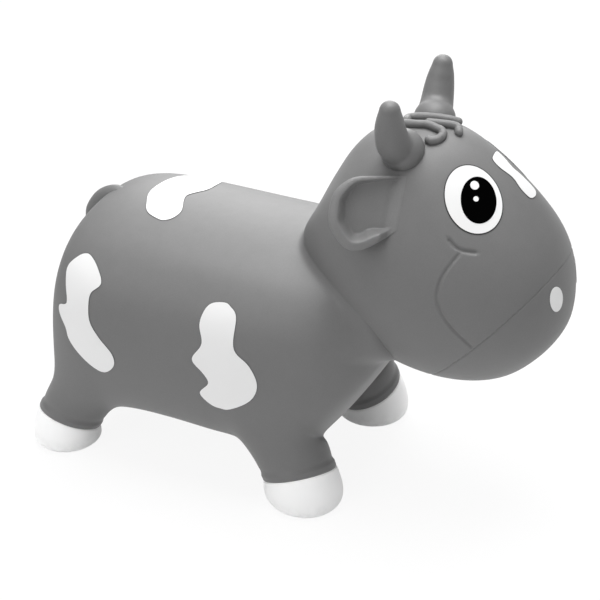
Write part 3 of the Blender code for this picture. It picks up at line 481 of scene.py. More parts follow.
def trunkCage():
    # stations x section angles; each leg leaves an opening of four cells, from which its own rings go
    # down to the sole. Each face is marked with its zone: 0 for the skin, 1 to 4 for the hooves
    place, width, rise, drop = np.array(trunk["stations"]).T
    side, height = unitSection(*trunk["powers"])
    x = trunk["rumpX"] + place[:, None] * trunk["length"] + np.zeros_like(side)
    y = width[:, None] * trunk["halfWidth"] * side
    reach = np.where(height > 0, rise[:, None] * trunk["rise"], drop[:, None] * trunk["drop"])
    lean = np.zeros(len(place))
    lean[:len(trunk["leanShares"])] = trunk["leanShares"]
    x = x + lean[:, None] * trunk["rumpLean"] * reach * height / trunk["rise"]
    grid = np.stack([x, y, trunk["midHeight"] + reach * height], axis=-1)
    rows, columns = grid.shape[:2]
    cells = gridFaces(rows, columns).reshape(rows - 1, columns, 4)
    keep = np.ones((rows - 1, columns), bool)
    for first in legs["stations"].values():
        keep[first:first + 2, legs["openCells"]] = False
    points, quads, triangles = [grid.reshape(-1, 3)], [cells[keep]], []
    zones = [np.zeros(keep.sum(), int)]
    count = rows * columns
    ends = [(0, (trunk["rumpX"] + place[0] * trunk["length"], 0, trunk["midHeight"])),
            (rows - 1, (trunk["rumpX"] + trunk["neckEnd"][0] * trunk["length"], 0, trunk["neckEnd"][1]))]
    for row, pole in ends:
        ring = row * columns + np.arange(columns)
        triangles.append(np.stack([ring, np.roll(ring, -1), np.full(columns, count)], axis=-1))
        points.append(np.array([pole]))
        count += 1
    corners = unit(np.array([(-1, -1), (-1, 0), (-1, 1), (0, 1), (1, 1), (1, 0), (1, -1), (0, -1)], float))
    ring = np.arange(len(corners))
    even = ring[::2]
    zone = 0
    for end, first in legs["stations"].items():
        for sign, (outer, middle, inner) in legs["columns"].items():
            zone += 1
            upper = columns * (first + np.array([0, 0, 0, 1, 2, 2, 2, 1]))
            upper = upper + np.array([outer, middle, inner, inner, inner, middle, outer, outer])
            for number, (share, radius, leanShare) in enumerate(legs["rings"]):
                axis = legAxis(end, sign, leanShare)
                along = unit(np.array([1, 0, 0]) - axis * axis[0])
                inward = -sign * np.cross(axis, along)
                spread = corners[:, :1] * along + corners[:, 1:] * inward
                points.append(legPoint(end, sign, share) + legs["girth"][end] * radius * spread)
                lower = count + ring
                count += len(ring)
                quads.append(np.stack([upper, np.roll(upper, -1), np.roll(lower, -1), lower], axis=-1))
                zones.append(np.full(len(ring), zone if number > legs["hoofFrom"] else 0))
                upper = lower
            points.append(points[-1].mean(axis=0, keepdims=True))
            middles = np.full(len(even), count)
            quads.append(np.stack([upper[even], upper[even + 1], middles, upper[even - 1]], axis=-1))
            zones.append(np.full(len(even), zone))
            count += 1
    cage = newObject("trunkCage", np.vstack(points), [np.vstack(quads), np.vstack(triangles)])
    marks = np.concatenate(zones + [np.zeros(2 * columns, int)])
    attribute = cage.data.attributes.new("zone", "INT", "FACE")
    attribute.data.foreach_set("value", marks.astype(np.int32))
    return cage


def seamDistances(points, end, sign):
    # how far above the hoof's seam plane each point lies, and how far from the leg's line
    seam, axis = legPoint(end, sign, 1.0), legAxis(end, sign, 1.0)
    away = points - seam
    above = away @ axis
    return above, np.linalg.norm(away - above[:, None] * axis, axis=1)


def bell(values, centre, width):
    # e to the power of minus the square of the distance from the centre, counted in widths
    return np.exp(-((values - centre) / width) ** 2)


def zonePieces():
    # the rounded cage with its seam groove and lip, taken apart into skin and hooves, each closed
    cage = trunkCage()
    rounding = cage.modifiers.new("Rounding", "SUBSURF")
    rounding.levels = rounding.render_levels = trunk["detail"]
    settled(tidied(cage))
    mesh = cage.data
    points, normals = vertexArray(mesh), vertexArray(mesh, "normal")
    zones = np.empty(len(mesh.polygons), np.int32)
    mesh.attributes["zone"].data.foreach_get("value", zones)
    corners = np.empty(len(mesh.loops), np.int32)
    mesh.loops.foreach_get("vertex_index", corners)
    quads = corners.reshape(-1, 4)
    rise = np.full(len(points), trunk["swell"])
    feet = [(end, sign) for end in legs["stations"] for sign in (-1, 1)]
    for end, sign in feet:
        above, away = seamDistances(points, end, sign)
        near = smoothStep((legs["reliefRadius"] - away) / legs["reliefFade"])
        near = near * (points[:, 2] < legs["reliefTop"])
        relief = legs["lipRise"] * bell(above, legs["lipAt"], legs["lipWidth"])
        relief -= legs["dipDepth"] * bell(above, legs["dipAt"], legs["dipWidth"])
        relief -= legs["grooveDepth"] * bell(above, 0, legs["grooveWidth"])
        rise += near * relief
    points = points + rise[:, None] * normals
    points[:, 2] = np.maximum(points[:, 2], floorHeight)
    made = []
    for zone in range(len(feet) + 1):
        own = quads[zones == zone]
        used, index = np.unique(own, return_inverse=True)
        own = index.reshape(-1, 4)
        form = points[used]
        edges = np.sort(np.stack([own, np.roll(own, -1, axis=1)], axis=-1).reshape(-1, 2), axis=1)
        edges, count = np.unique(edges, axis=0, return_counts=True)
        rim = edges[count == 1]
        blocks, extra = [own], []
        for number, (end, sign) in enumerate(feet):
            if zone in (0, number + 1):
                middle = legPoint(end, sign, 1.0)
                away = np.linalg.norm(form[rim].mean(axis=1) - middle, axis=1)
                mine = rim[away < legs["rimRadius"]]
                blocks.append(np.column_stack([mine, np.full(len(mine), len(form) + len(extra))]))
                extra.append(middle)
        made.append(tidied(newObject("zone%d" % zone, np.vstack([form] + extra), blocks)))
    bpy.data.objects.remove(cage)
    return made


trunkSkin, *hooves = zonePieces()
trunkSkin.name = "trunk_vinyl"
print("trunk, legs and hooves:", len(trunkSkin.data.polygons), "faces")
# the nodes that the one skin of trunk and legs stands for
skinNodes = ["torso_skin", "belly_skin"]
skinNodes += ["leg_%s_%s" % (end, side) for end in ("front", "rear") for side in ("right", "left")]
hoofNodes = ["hoof_%s_%s" % (end, side) for end in legs["stations"] for side in ("right", "left")]
for hoof, node in zip(hooves, hoofNodes):
    hoof.name = node + "_vinyl"
    dressed(hoof, "whiteVinyl", "feet", [node])


# Shrinkwrap, for films on the skin and as a measuring tool

film = {
    # how high the films lie off the skin: edges (the eye's outline, and the spots' rims of painted shade),
    # paint, and what the pupils and glints add to that
    "edgeLift": 0.0001, "lift": 0.00025, "pupilRise": 0.0002, "glintRise": 0.0004,
    "thickness": 0.00030, "grid": 0.0022, "line": 0.0005, "linePoints": 260, "ovalPoints": 48,
    "soften": 8, "sharp": 35.0, "standOff": 0.06,
}


def fromAxes(right, up, out, centre):
    # the placing of an object whose own X, Y and Z are these directions
    place = Matrix((Vector(right), Vector(up), Vector(out))).transposed().to_4x4()
    place.translation = Vector(centre)
    return place


def onto(made, target, lift):
    # a Shrinkwrap that drops each vertex along the object's own Z, down to the target
    hug = made.modifiers.new("Hug", "SHRINKWRAP")
    hug.target = target
    hug.wrap_method = "PROJECT"
    hug.use_project_z = True
    hug.use_positive_direction = False
    hug.use_negative_direction = True
    hug.wrap_mode = "ABOVE_SURFACE"
    hug.offset = lift
    bpy.context.view_layer.update()


def movedTo(points, target, mode):
    # where Shrinkwrap puts each point: on the nearest place of the target, or there from inside only
    cloud = newObject("cloud", points, [])
    hug = cloud.modifiers.new("Hug", "SHRINKWRAP")
    hug.target = target
    hug.wrap_method = "NEAREST_SURFACEPOINT"
    hug.wrap_mode = mode
    found = vertexArray(settled(cloud).data)
    bpy.data.objects.remove(cloud)
    return found


def heightsAbove(places, axes, centre, target, missing):
    # how high the target stands over each place of a plane, looked at from its outer side
    cloud = newObject("cloud", np.column_stack([places, np.full(len(places), film["standOff"])]), [])
    cloud.matrix_world = fromAxes(*axes, centre)
    onto(cloud, target, 0.0)
    found = vertexArray(settled(cloud).data)[:, 2]
    bpy.data.objects.remove(cloud)
    return np.where(found > film["standOff"] - mergeDistance, missing, found)


# Head, with the pressed smile and the muzzle's line

head = {
    "centre": (0.1416, 0, 0.255), "pitch": 35.0,
    "halfLength": 0.1325, "halfWidth": 0.0956, "rise": 0.1115, "drop": 0.1132, "powers": (2.066, 2.3),
    # place along the head from its middle, then half width, rise, drop and forward lean, all as shares
    "stations": [(-0.87, 0.36, 0.52, 0.42, -0.13), (-0.79, 0.70, 0.82, 0.685, 0.12),
                 (-0.38, 0.90, 1.015, 0.895, -0.10), (0.00, 1.00, 1.018, 0.99, 0),
                 (0.38, 1.00, 0.936, 0.944, 0), (0.70, 0.865, 0.77, 0.72, 0),
                 (0.98, 0.49, 0.34, 0.41, 0.035)],
    "ends": ((-0.945, -0.01), (1.0, 0.073)),
    # by ring and by point of the ring: the neck swells behind, the jowl is slimmer, and the crown is a
    # narrow ridge
    "swells": [
        ((0.24, 0.035, 0.13, 0.05, 0, 0, 0), (0, 0, 0, 0.25, 1, 1, 1, 1, 1, 1, 1, 0.25, 0, 0)),
        ((0, 0, 0, 0, -0.023, -0.032, -0.075), (0, 0, 0, 0, 1, 1, 0.5, 0.3, 0.5, 1, 1, 0, 0, 0)),
        ((0, 0, 0.03, 0.065, 0.018, 0, 0), (1, 0, 0, 0, 0, 0, 0, 0, 0, 0, 0, 0, 0, 0)),
        ((0, -0.027, -0.02, -0.065, -0.01, 0, 0), (0, 1, 0, 0, 0, 0, 0, 0, 0, 0, 0, 0, 0, 1)),
        ((0, -0.027, -0.015, -0.04, -0.015, 0, 0), (0, 0, 1, 0, 0, 0, 0, 0, 0, 0, 0, 0, 1, 0)),
    ],
    "swell": 1.008,
    # steps of the grid away from the smile and near it, in rings and points of the cage
    "coarse": 0.048, "fine": 0.015, "roughSteps": 120, "margin": 0.12,
}
# the pad's plane looks down by its tilt, at its reach from the head's centre, and a groove runs along
# it; what lies nearer to the centre than reach and lineClear isn't grooved
muzzle = {
    "tilt": 41.4, "reach": 0.0773, "lineDepth": 0.0007, "lineWidth": 0.0009, "lineClear": 0.004,
    "cuts": (-0.0014, -0.0007, 0.0007, 0.0014),
}
smile = {
    "cheek": [(0.1722, -0.0767, 0.3095), (0.1794, -0.0777, 0.3034), (0.1869, -0.0769, 0.3001),
              (0.2000, -0.0724, 0.2985)],
    "mouth": [(0.1853, -0.0784, 0.2981), (0.1755, -0.0860, 0.2821), (0.1709, -0.0893, 0.2689),
              (0.1703, -0.0910, 0.2557), (0.1753, -0.0913, 0.2429), (0.1843, -0.0901, 0.2303),
              (0.1950, -0.0872, 0.2192), (0.2039, -0.0830, 0.2094)],
    "cheekDepth": 0.0021, "cheekWidth": 0.0016, "mouthDepth": 0.0015, "mouthWidth": 0.0014,
    # the length and the least share of the fade at each end, and how many widths a groove reaches
    "fade": 0.004, "endShare": 0.25, "reach": 3, "steps": 160,
}


def headAxes():
    # the head's own forward and upward, turned down by its pitch
    pitch = math.radians(head["pitch"])
    forward = np.array([math.cos(pitch), 0, -math.sin(pitch)])
    return forward, np.array([math.sin(pitch), 0, math.cos(pitch)])


def headSurface(alongPlaces, roundPlaces):
    # a bicubic B-spline surface of section rings along the head, closed at a point at each end; past
    # that point stands the end ring again, as seen from across, so the surface is round there
    place, width, rise, drop, lean = np.array(head["stations"]).T
    side, height = unitSection(*head["powers"])
    forward, upward = headAxes()
    y = width[:, None] * head["halfWidth"] * side
    reach = np.where(height > 0, rise[:, None] * head["rise"], drop[:, None] * head["drop"])
    along = (place[:, None] + lean[:, None] * reach * height / head["rise"]) * head["halfLength"]
    swell = 1 + sum(np.outer(ring, point) for ring, point in head["swells"])
    grid = np.stack([along, y * swell, reach * height * swell], axis=-1)
    columns = grid.shape[1]
    poles = np.zeros((2, columns, 3))
    poles[:, :, [0, 2]] = np.array(head["ends"])[:, None] * head["halfLength"]
    over = np.arange(columns) + columns // 2
    grid = np.concatenate([grid[:1, over % columns], poles[:1], grid, poles[1:], grid[-1:, over % columns]])
    rows = bsplineWeights(alongPlaces, len(grid), False)
    rounds = bsplineWeights(roundPlaces, columns, True)
    local = np.einsum("ia,jb,abk->ijk", rows, rounds, grid) * head["swell"]
    local[0] = local[0].mean(axis=0)
    local[-1] = local[-1].mean(axis=0)
    return (np.array(head["centre"]) + local[..., :1] * forward + local[..., 1:2] * np.array([0, 1, 0])
            + local[..., 2:] * upward)


def denserBetween(low, high, spans, coarse, fine):
    # places from low to high, closer together inside the spans
    edges = sorted({low, high, *[x for span in spans for x in span]})
    pieces = []
    for start, stop in zip(edges[:-1], edges[1:]):
        inside = any(a <= (start + stop) / 2 <= b for a, b in spans)
        steps = max(2, int(round((stop - start) / (fine if inside else coarse))))
        pieces.append(np.linspace(start, stop, steps, endpoint=False))
    return np.concatenate(pieces + [[high]])


def pressedInto(points, normals, path, depth, width):
    # a groove along a path: a bell-shaped dip in the distance to it, which fades towards both ends
    line = smoothLine(path, smile["steps"])
    run = np.concatenate([[0], np.cumsum(np.linalg.norm(np.diff(line, axis=0), axis=1))])
    margin = smile["reach"] * width
    low, high = line.min(axis=0) - margin, line.max(axis=0) + margin
    near = np.flatnonzero(((points > low) & (points < high)).all(axis=1))
    gaps = np.linalg.norm(points[near, None] - line[None], axis=2)
    place = run[gaps.argmin(axis=1)]
    fade = smoothStep(place / smile["fade"]) * smoothStep((run[-1] - place) / smile["fade"])
    dip = depth * bell(gaps.min(axis=1), 0, width) * np.clip(fade + smile["endShare"], 0, 1)
    points[near] -= dip[:, None] * normals[near]


def onOtherSide(points):
    # the same places on the other side of the animal
    return np.asarray(points, float) * np.array([1, -1, 1])


def halfCut(source, name, point, normal, cuts):
    # the part of a closed form ahead of a plane, closed there again; extra cuts run beside the plane
    form = bmesh.new()
    form.from_mesh(source.data)
    for shift in (*cuts, 0):
        bmesh.ops.bisect_plane(form, geom=form.verts[:] + form.edges[:] + form.faces[:],
                               plane_co=Vector(point + shift * normal), plane_no=Vector(normal),
                               clear_inner=shift == 0, dist=mergeDistance)
    rim = [edge for edge in form.edges if edge.is_boundary]
    bmesh.ops.triangle_fill(form, edges=rim, use_beauty=False)
    bmesh.ops.recalc_face_normals(form, faces=form.faces)
    mesh = bpy.data.meshes.new(name)
    form.to_mesh(mesh)
    form.free()
    made = bpy.data.objects.new(name, mesh)
    bpy.context.scene.collection.objects.link(made)
    return made


def headPieces():
    # the egg on a grid that is fine round the smile, with the smile pressed in, and its two halves
    # either side of the muzzle's line
    rows = len(head["stations"]) + 2
    columns = len(sectionDegrees)
    roughAlong = np.linspace(1, rows, head["roughSteps"])
    roughRound = np.linspace(0, columns / 2, head["roughSteps"])
    rough = headSurface(roughAlong, roughRound)
    marks = np.array(smile["cheek"] + smile["mouth"])
    gaps = np.linalg.norm(rough[None] - marks[:, None, None], axis=-1).reshape(len(marks), -1)
    row, column = np.unravel_index(gaps.argmin(axis=1), rough.shape[:2])
    alongSpan = (roughAlong[row].min() - head["margin"], roughAlong[row].max() + head["margin"])
    roundSpan = (roughRound[column].min() - head["margin"], roughRound[column].max() + head["margin"])
    otherSpan = (columns - roundSpan[1], columns - roundSpan[0])
    along = denserBetween(1.0, float(rows), [alongSpan], head["coarse"], head["fine"])
    rounds = denserBetween(0.0, float(columns), [roundSpan, otherSpan], head["coarse"], head["fine"])[:-1]
    grid = headSurface(along, rounds)
    whole = tidied(newObject("headWhole", grid.reshape(-1, 3), [gridFaces(*grid.shape[:2])]))
    points, normals = vertexArray(whole.data), vertexArray(whole.data, "normal")
    for part in ("cheek", "mouth"):
        depth, width = smile[part + "Depth"], smile[part + "Width"]
        path = movedTo(np.array(smile[part]), whole, "ON_SURFACE")
        pressedInto(points, normals, path, depth, width)
        pressedInto(points, normals, onOtherSide(path), depth, width)
    setVertices(whole.data, points)
    tilt = math.radians(muzzle["tilt"])
    forward = np.array([math.cos(tilt), 0, -math.sin(tilt)])
    point = np.array(head["centre"]) + forward * muzzle["reach"]
    made = []
    for name, direction in (("head_vinyl", -forward), ("snout_vinyl", forward)):
        half = halfCut(whole, name, point, direction, muzzle["cuts"])
        points, normals = vertexArray(half.data), vertexArray(half.data, "normal")
        ahead = (points - point) @ forward
        away = np.linalg.norm(points - np.array(head["centre"]), axis=1)
        out = away > muzzle["reach"] + muzzle["lineClear"]
        dip = muzzle["lineDepth"] * bell(ahead, 0, muzzle["lineWidth"]) * out
        outward = normals - (normals @ forward)[:, None] * forward
        setVertices(half.data, points - dip[:, None] * outward)
        half.data.polygons.foreach_set("use_smooth", np.ones(len(half.data.polygons), dtype=bool))
        made.append(half)
    return whole, made[0], made[1]


# Neck: the trunk's skin rises to the head in a rounded corner, tight on top and wide below

neck = {
    "reach": 0.036, "highest": 0.016, "sink": 0.00080, "passes": 14, "evening": 3,
    # how deep inside the head the skin still rises, in itself and as a share of the width
    "depth": 0.006, "depthShare": 0.45, "fade": 0.008,
    # the corner's width: tight above the top height, inside the side's distance and under the throat
    "tight": 0.006, "wide": 0.044, "top": 0.240, "drop": 0.065, "side": (0.030, 0.040),
    "throat": (0.150, 0.030),
}


def skinDistance(points, target):
    # the distance to the target's skin, less than zero inside it
    gap = np.linalg.norm(movedTo(points, target, "ON_SURFACE") - points, axis=1)
    inside = np.linalg.norm(movedTo(points, target, "OUTSIDE") - points, axis=1) > gap / 2
    return np.where(inside, -gap, gap)


def finerNear(skin, target, reach):
    # faces within reach of the target are cut into quarters
    near = np.abs(skinDistance(vertexArray(skin.data), target)) < reach
    form = bmesh.new()
    form.from_mesh(skin.data)
    edges = [edge for edge in form.edges if near[edge.verts[0].index] and near[edge.verts[1].index]]
    bmesh.ops.subdivide_edges(form, edges=edges, cuts=1, use_grid_fill=True)
    form.to_mesh(skin.data)
    form.free()


def roundedNeck(skin, target):
    # each point near the head moves out along its normal until the lesser of two distances, to its
    # own skin and to the head's, is width x share x share / 4; the share is 1 where they are alike and
    # 0 where they differ by the width. The lift is then evened over neighbouring points
    finerNear(skin, target, neck["reach"])
    points, normals = vertexArray(skin.data), vertexArray(skin.data, "normal")
    inHead = skinDistance(points, target)
    deepest = neck["depth"] + neck["depthShare"] * neck["wide"] + neck["fade"]
    near = np.flatnonzero((inHead < neck["wide"]) & (inHead > -deepest))
    start, way = points[near], normals[near]
    below = smoothStep((neck["top"] - start[:, 2]) / neck["drop"])
    aside = smoothStep((np.abs(start[:, 1]) - neck["side"][0]) / neck["side"][1])
    above = smoothStep((start[:, 2] - neck["throat"][0]) / neck["throat"][1])
    width = neck["tight"] + (neck["wide"] - neck["tight"]) * below * aside * above
    moved = np.zeros(len(near))
    for turn in range(neck["passes"]):
        other = skinDistance(start + moved[:, None] * way, target) + neck["sink"]
        share = np.clip(1 - np.abs(moved - other) / width, 0, 1)
        moved -= np.minimum(moved, other) - width * share * share / 4
        moved = np.clip(moved, 0, neck["highest"])
    shown = smoothStep((inHead[near] + neck["depth"] + neck["depthShare"] * width) / neck["fade"] + 1)
    lift = np.zeros(len(points))
    lift[near] = moved * shown
    ends = np.empty(len(skin.data.edges) * 2, np.int32)
    skin.data.edges.foreach_get("vertices", ends)
    first, second = ends.reshape(-1, 2).T
    count = np.bincount(ends, minlength=len(points))
    for turn in range(neck["evening"]):
        beside = np.bincount(first, lift[second], len(points))
        beside = beside + np.bincount(second, lift[first], len(points))
        lift = lift / 2 + beside / count / 2
    setVertices(skin.data, points + lift[:, None] * normals)


headWhole, headSkin, snoutSkin = headPieces()
roundedNeck(trunkSkin, headWhole)
dressed(trunkSkin, "greyVinyl", nodes=skinNodes)
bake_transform(trunkSkin)
dressed(headSkin, "greyVinyl", "trunk", ["head_skin"])
dressed(snoutSkin, "greyVinyl", "trunk", ["snout_skin"])
print("head and snout:", len(headSkin.data.polygons), len(snoutSkin.data.polygons), "faces")


# Horns: a root ball in the crown and a bent tapering shaft, fused into one

horn = {
    "root": (0.1146, -0.0406, 0.3672), "rootRadius": 0.0200,
    # places along its middle, each with the shaft's radius
    "shaft": [(0.1135, -0.0433, 0.3700, 0.0168), (0.1112, -0.0551, 0.3790, 0.0155),
              (0.1105, -0.0619, 0.3930, 0.0140), (0.1109, -0.0648, 0.4045, 0.0119),
              (0.1112, -0.0662, 0.4122, 0.0096)],
    "steps": 60, "sides": 48, "voxel": 0.0011, "smoothing": 14,
}


def ballAt(name, centre, radius, rings=24):
    # a half circle from pole to pole, turned about the upright line through its centre
    turn = np.linspace(0, math.pi, rings)
    profile = np.column_stack([radius * np.sin(turn), -radius * np.cos(turn)])
    return turnedSurface(name, profile, centre, 2 * rings)


def mirroredPiece(made, name):
    # the same mesh on the other side of the animal, with its faces turned outwards again
    mesh = made.data.copy()
    twin = bpy.data.objects.new(name, mesh)
    bpy.context.scene.collection.objects.link(twin)
    setVertices(mesh, onOtherSide(vertexArray(mesh)))
    return tidied(twin)


root = ballAt("hornRoot", horn["root"], horn["rootRadius"])
shaft = tidied(sweptTube("hornShaft", horn["shaft"], horn["steps"], horn["sides"], (1, 0, 0)))
hornRight = fused("horn_right_vinyl", [root, shaft], horn["voxel"], horn["smoothing"])
# the horns get the darker copy of the grey vinyl, which paints shade on them
for made, side in ((hornRight, "right"), (mirroredPiece(hornRight, "horn_left_vinyl"), "left")):
    dressed(made, "paintedShadeVinyl", "horn_" + side, ["horn_" + side])
print("horns:", len(hornRight.data.polygons), "faces")


# Ears: a cupped leaf with a fat rim behind, whose front lies down on the head and goes into it

ear = {
    "centre": (0.1010, -0.0900, 0.3240), "back": (-0.89, -0.45, -0.05), "tilt": 22.0,
    # the outline backwards and upwards from the centre, its front inside the head
    "outline": [(-0.046, 0.0270), (-0.0335, 0.0306), (-0.0110, 0.0322), (0.0100, 0.0318),
                (0.0268, 0.0200), (0.0330, -0.0022), (0.0288, -0.0172), (0.0185, -0.0298),
                (0.0045, -0.0312), (-0.0137, -0.0240), (-0.0235, -0.0180), (-0.034, -0.012),
                (-0.045, -0.004), (-0.050, 0.012)],
    # by the angle from the back: the rolled edge's width and height
    "rollAngles": (0, 50, 80, 110, 150, 180, 215, 240, 270, 310, 360),
    "rollWidths": (0.0136, 0.0118, 0.0070, 0.0052, 0.0045, 0.004, 0.006, 0.011, 0.0140, 0.0140, 0.0136),
    "rollHeights": (0.0050, 0.0042, 0.0028, 0.0020, 0.0010, 0.000, 0.001, 0.0038, 0.0052, 0.0054, 0.0050),
    # the cup's depth and what its middle adds; where the rolled edge is highest and over what length it
    # falls, both in its own widths; and the dome of the ear's back
    "cup": 0.0050, "cupSag": 0.0012, "crest": 0.50, "slope": 0.66, "backDome": 0.0135, "backPower": 2.6,
    # the line where the front goes into the head: its place at the middle and its lean, then the depth it
    # goes to and over what length, and where the sheet begins to lie down on the head
    "frontAt": 0.0276, "frontLean": 0.245, "frontDepth": 0.010, "frontRun": 0.018,
    "layFrom": 0.013, "layRun": 0.013, "deepest": -0.012, "over": 0.0004, "blend": 0.0016,
    # the grid: points of the outline that is read, points round, rings, and how they crowd to the edge
    "outlineSteps": 480, "roundSteps": 180, "ringSteps": 72, "ringPower": 1.5,
}


def earPiece():
    # rings of the outline shrink to its middle; the outer sheet is the rolled edge round a cup, laid on
    # the head's skin towards the front, and the inner sheet is a plain dome
    back = unit(np.array(ear["back"]))
    up = unit(np.array([0, 0, 1]) - back * back[2])
    out = np.cross(up, back)
    out = out * -np.sign(out[1])
    tilt = math.radians(ear["tilt"])
    up, out = up * math.cos(tilt) - out * math.sin(tilt), out * math.cos(tilt) + up * math.sin(tilt)
    line = smoothLine(ear["outline"], ear["outlineSteps"], closed=True)
    turn = np.arctan2(line[:, 1], line[:, 0]) % (2 * math.pi)
    order = np.argsort(turn)
    angle = np.linspace(0, 2 * math.pi, ear["roundSteps"], endpoint=False)
    reach = np.interp(angle, turn[order], np.linalg.norm(line, axis=1)[order], period=2 * math.pi)
    spread = 1 - np.linspace(1, 0, ear["ringSteps"])[:, None] ** ear["ringPower"]
    b, u = spread * reach * np.cos(angle), spread * reach * np.sin(angle)
    width = np.interp(np.degrees(angle), ear["rollAngles"], ear["rollWidths"])
    height = np.interp(np.degrees(angle), ear["rollAngles"], ear["rollHeights"])
    inside = (1 - spread) * reach / width
    rise = np.sqrt(1 - np.clip(1 - inside / ear["crest"], 0, 1) ** 2)
    floor = ear["cup"] + ear["cupSag"] * (1 - spread ** 2)
    outer = height * rise - (height + floor) * smoothStep((inside - ear["crest"]) / ear["slope"])

    places = np.column_stack([b.ravel(), u.ravel()])
    skin = heightsAbove(places, (back, up, out), ear["centre"], headWhole, -film["standOff"])
    skin = skin.reshape(b.shape) + ear["over"]
    ahead = -b - ear["frontAt"] - ear["frontLean"] * u
    laid = smoothStep((ahead + ear["layFrom"]) / ear["layRun"])
    outer = outer * (1 - laid) + np.maximum(skin, ear["deepest"]) * laid
    overlap = np.clip(1 - np.abs(outer - skin) / ear["blend"], 0, 1)
    outer = np.maximum(outer, skin) + ear["blend"] * overlap ** 2 / 4
    outer = outer - ear["frontDepth"] * smoothStep(ahead / ear["frontRun"])
    inner = outer[-1] - ear["backDome"] * np.sqrt(np.clip(1 - spread ** ear["backPower"], 0, 1))
    centre = np.array(ear["centre"])
    sheets = [centre + b[..., None] * back + u[..., None] * up + h[..., None] * out for h in (outer, inner)]
    points = np.concatenate([sheets[0], sheets[1][::-1]])
    return tidied(newObject("ear_right_vinyl", points.reshape(-1, 3), [gridFaces(*points.shape[:2])]))


earRight = earPiece()
# the ears get the lighter copy of the grey vinyl, which paints light on them
for made, side in ((earRight, "right"), (mirroredPiece(earRight, "ear_left_vinyl"), "left")):
    dressed(made, "earVinylPaintedLight", "ear_" + side, ["ear_" + side])
print("ears:", len(earRight.data.polygons), "faces")


# Tail and forelock

tail = {
    # places along its middle, each with the tail's radius
    "stations": [(-0.1972, 0, 0.2465, 0.0060), (-0.2102, 0, 0.2480, 0.0088), (-0.2259, 0, 0.2405, 0.0097),
                 (-0.2379, 0, 0.2260, 0.0090), (-0.2424, 0, 0.2140, 0.0072)],
    "steps": 60, "sides": 40,
}
tailPiece = tidied(sweptTube("tail_vinyl", tail["stations"], tail["steps"], tail["sides"], (0, 1, 0)))
# the tail gets the darker copy of the grey vinyl, which paints shade on it
dressed(tailPiece, "paintedShadeVinyl", "trunk", ["tail"])

# x and y of each strand from the head's middle, as shares of the head's half width
forelock = {
    "radius": 0.0039, "sink": 0.0009, "linePoints": 24, "steps": 90, "sides": 24, "crownFrom": 0.05,
    "front": [(-0.40, -0.09), (-0.27, -0.10), (-0.165, -0.10), (-0.08, -0.125), (-0.01, -0.145),
              (0.02, -0.19), (0.00, -0.25), (-0.05, -0.29), (-0.08, -0.29)],
    "middle": [(-0.17, -0.055), (-0.09, -0.045), (-0.02, -0.03), (0.06, 0.00), (0.105, -0.01),
               (0.135, -0.07)],
    "back": [(-0.40, -0.03), (-0.415, 0.05), (-0.375, 0.10), (-0.27, 0.115), (-0.05, 0.135),
             (0.045, 0.165)],
}
headPoints = vertexArray(headWhole.data)
crown = headPoints[headPoints[:, 2] > head["centre"][2] + forelock["crownFrom"]]


def crownHeights(places):
    # the height of the head's skin at each x and y, from its four nearest points
    gaps = np.linalg.norm(crown[None, :, :2] - places[:, None], axis=2)
    order = np.argsort(gaps, axis=1)[:, :4]
    return crown[order, 2].mean(axis=1)


for strand in ("front", "middle", "back"):
    places = np.array(forelock[strand]) * head["halfWidth"] + np.array([head["centre"][0], 0])
    places = smoothLine(places, forelock["linePoints"])
    heights = crownHeights(places) + forelock["radius"] - 2 * forelock["sink"]
    stations = np.column_stack([places, heights, np.full(len(places), forelock["radius"])])
    name = "forelock_%s_vinyl" % strand
    curl = tidied(sweptTube(name, stations, forelock["steps"], forelock["sides"], (0, 0, 1)))
    dressed(curl, "greyVinyl", "trunk", ["forelock_" + strand])
print("tail and forelock done")


# Painted films that follow the skin

def grown(outline, wider):
    # a smooth closed line through the outline, its corners rounded off, moved outwards by a width
    line = smoothLine(outline, film["linePoints"], closed=True)
    for turn in range(film["soften"]):
        line = line / 2 + (np.roll(line, 1, axis=0) + np.roll(line, -1, axis=0)) / 4
    following = np.roll(line, -1, axis=0)
    along = unit(following - np.roll(line, 1, axis=0))
    turning = np.sign(np.sum(line[:, 0] * following[:, 1] - line[:, 1] * following[:, 0]))
    return line + wider * turning * np.column_stack([along[:, 1], -along[:, 0]])


def insideOf(places, line):
    # a place is inside where a ray to its right crosses the closed line an odd number of times
    start, stop = line, np.roll(line, -1, axis=0)
    x, y = places[:, :1], places[:, 1:]
    spans = (start[:, 1] > y) != (stop[:, 1] > y)
    height = np.where(stop[:, 1] == start[:, 1], 1, stop[:, 1] - start[:, 1])
    crossing = start[:, 0] + (y - start[:, 1]) / height * (stop[:, 0] - start[:, 0])
    return (spans & (x < crossing)).sum(axis=1) % 2 == 1


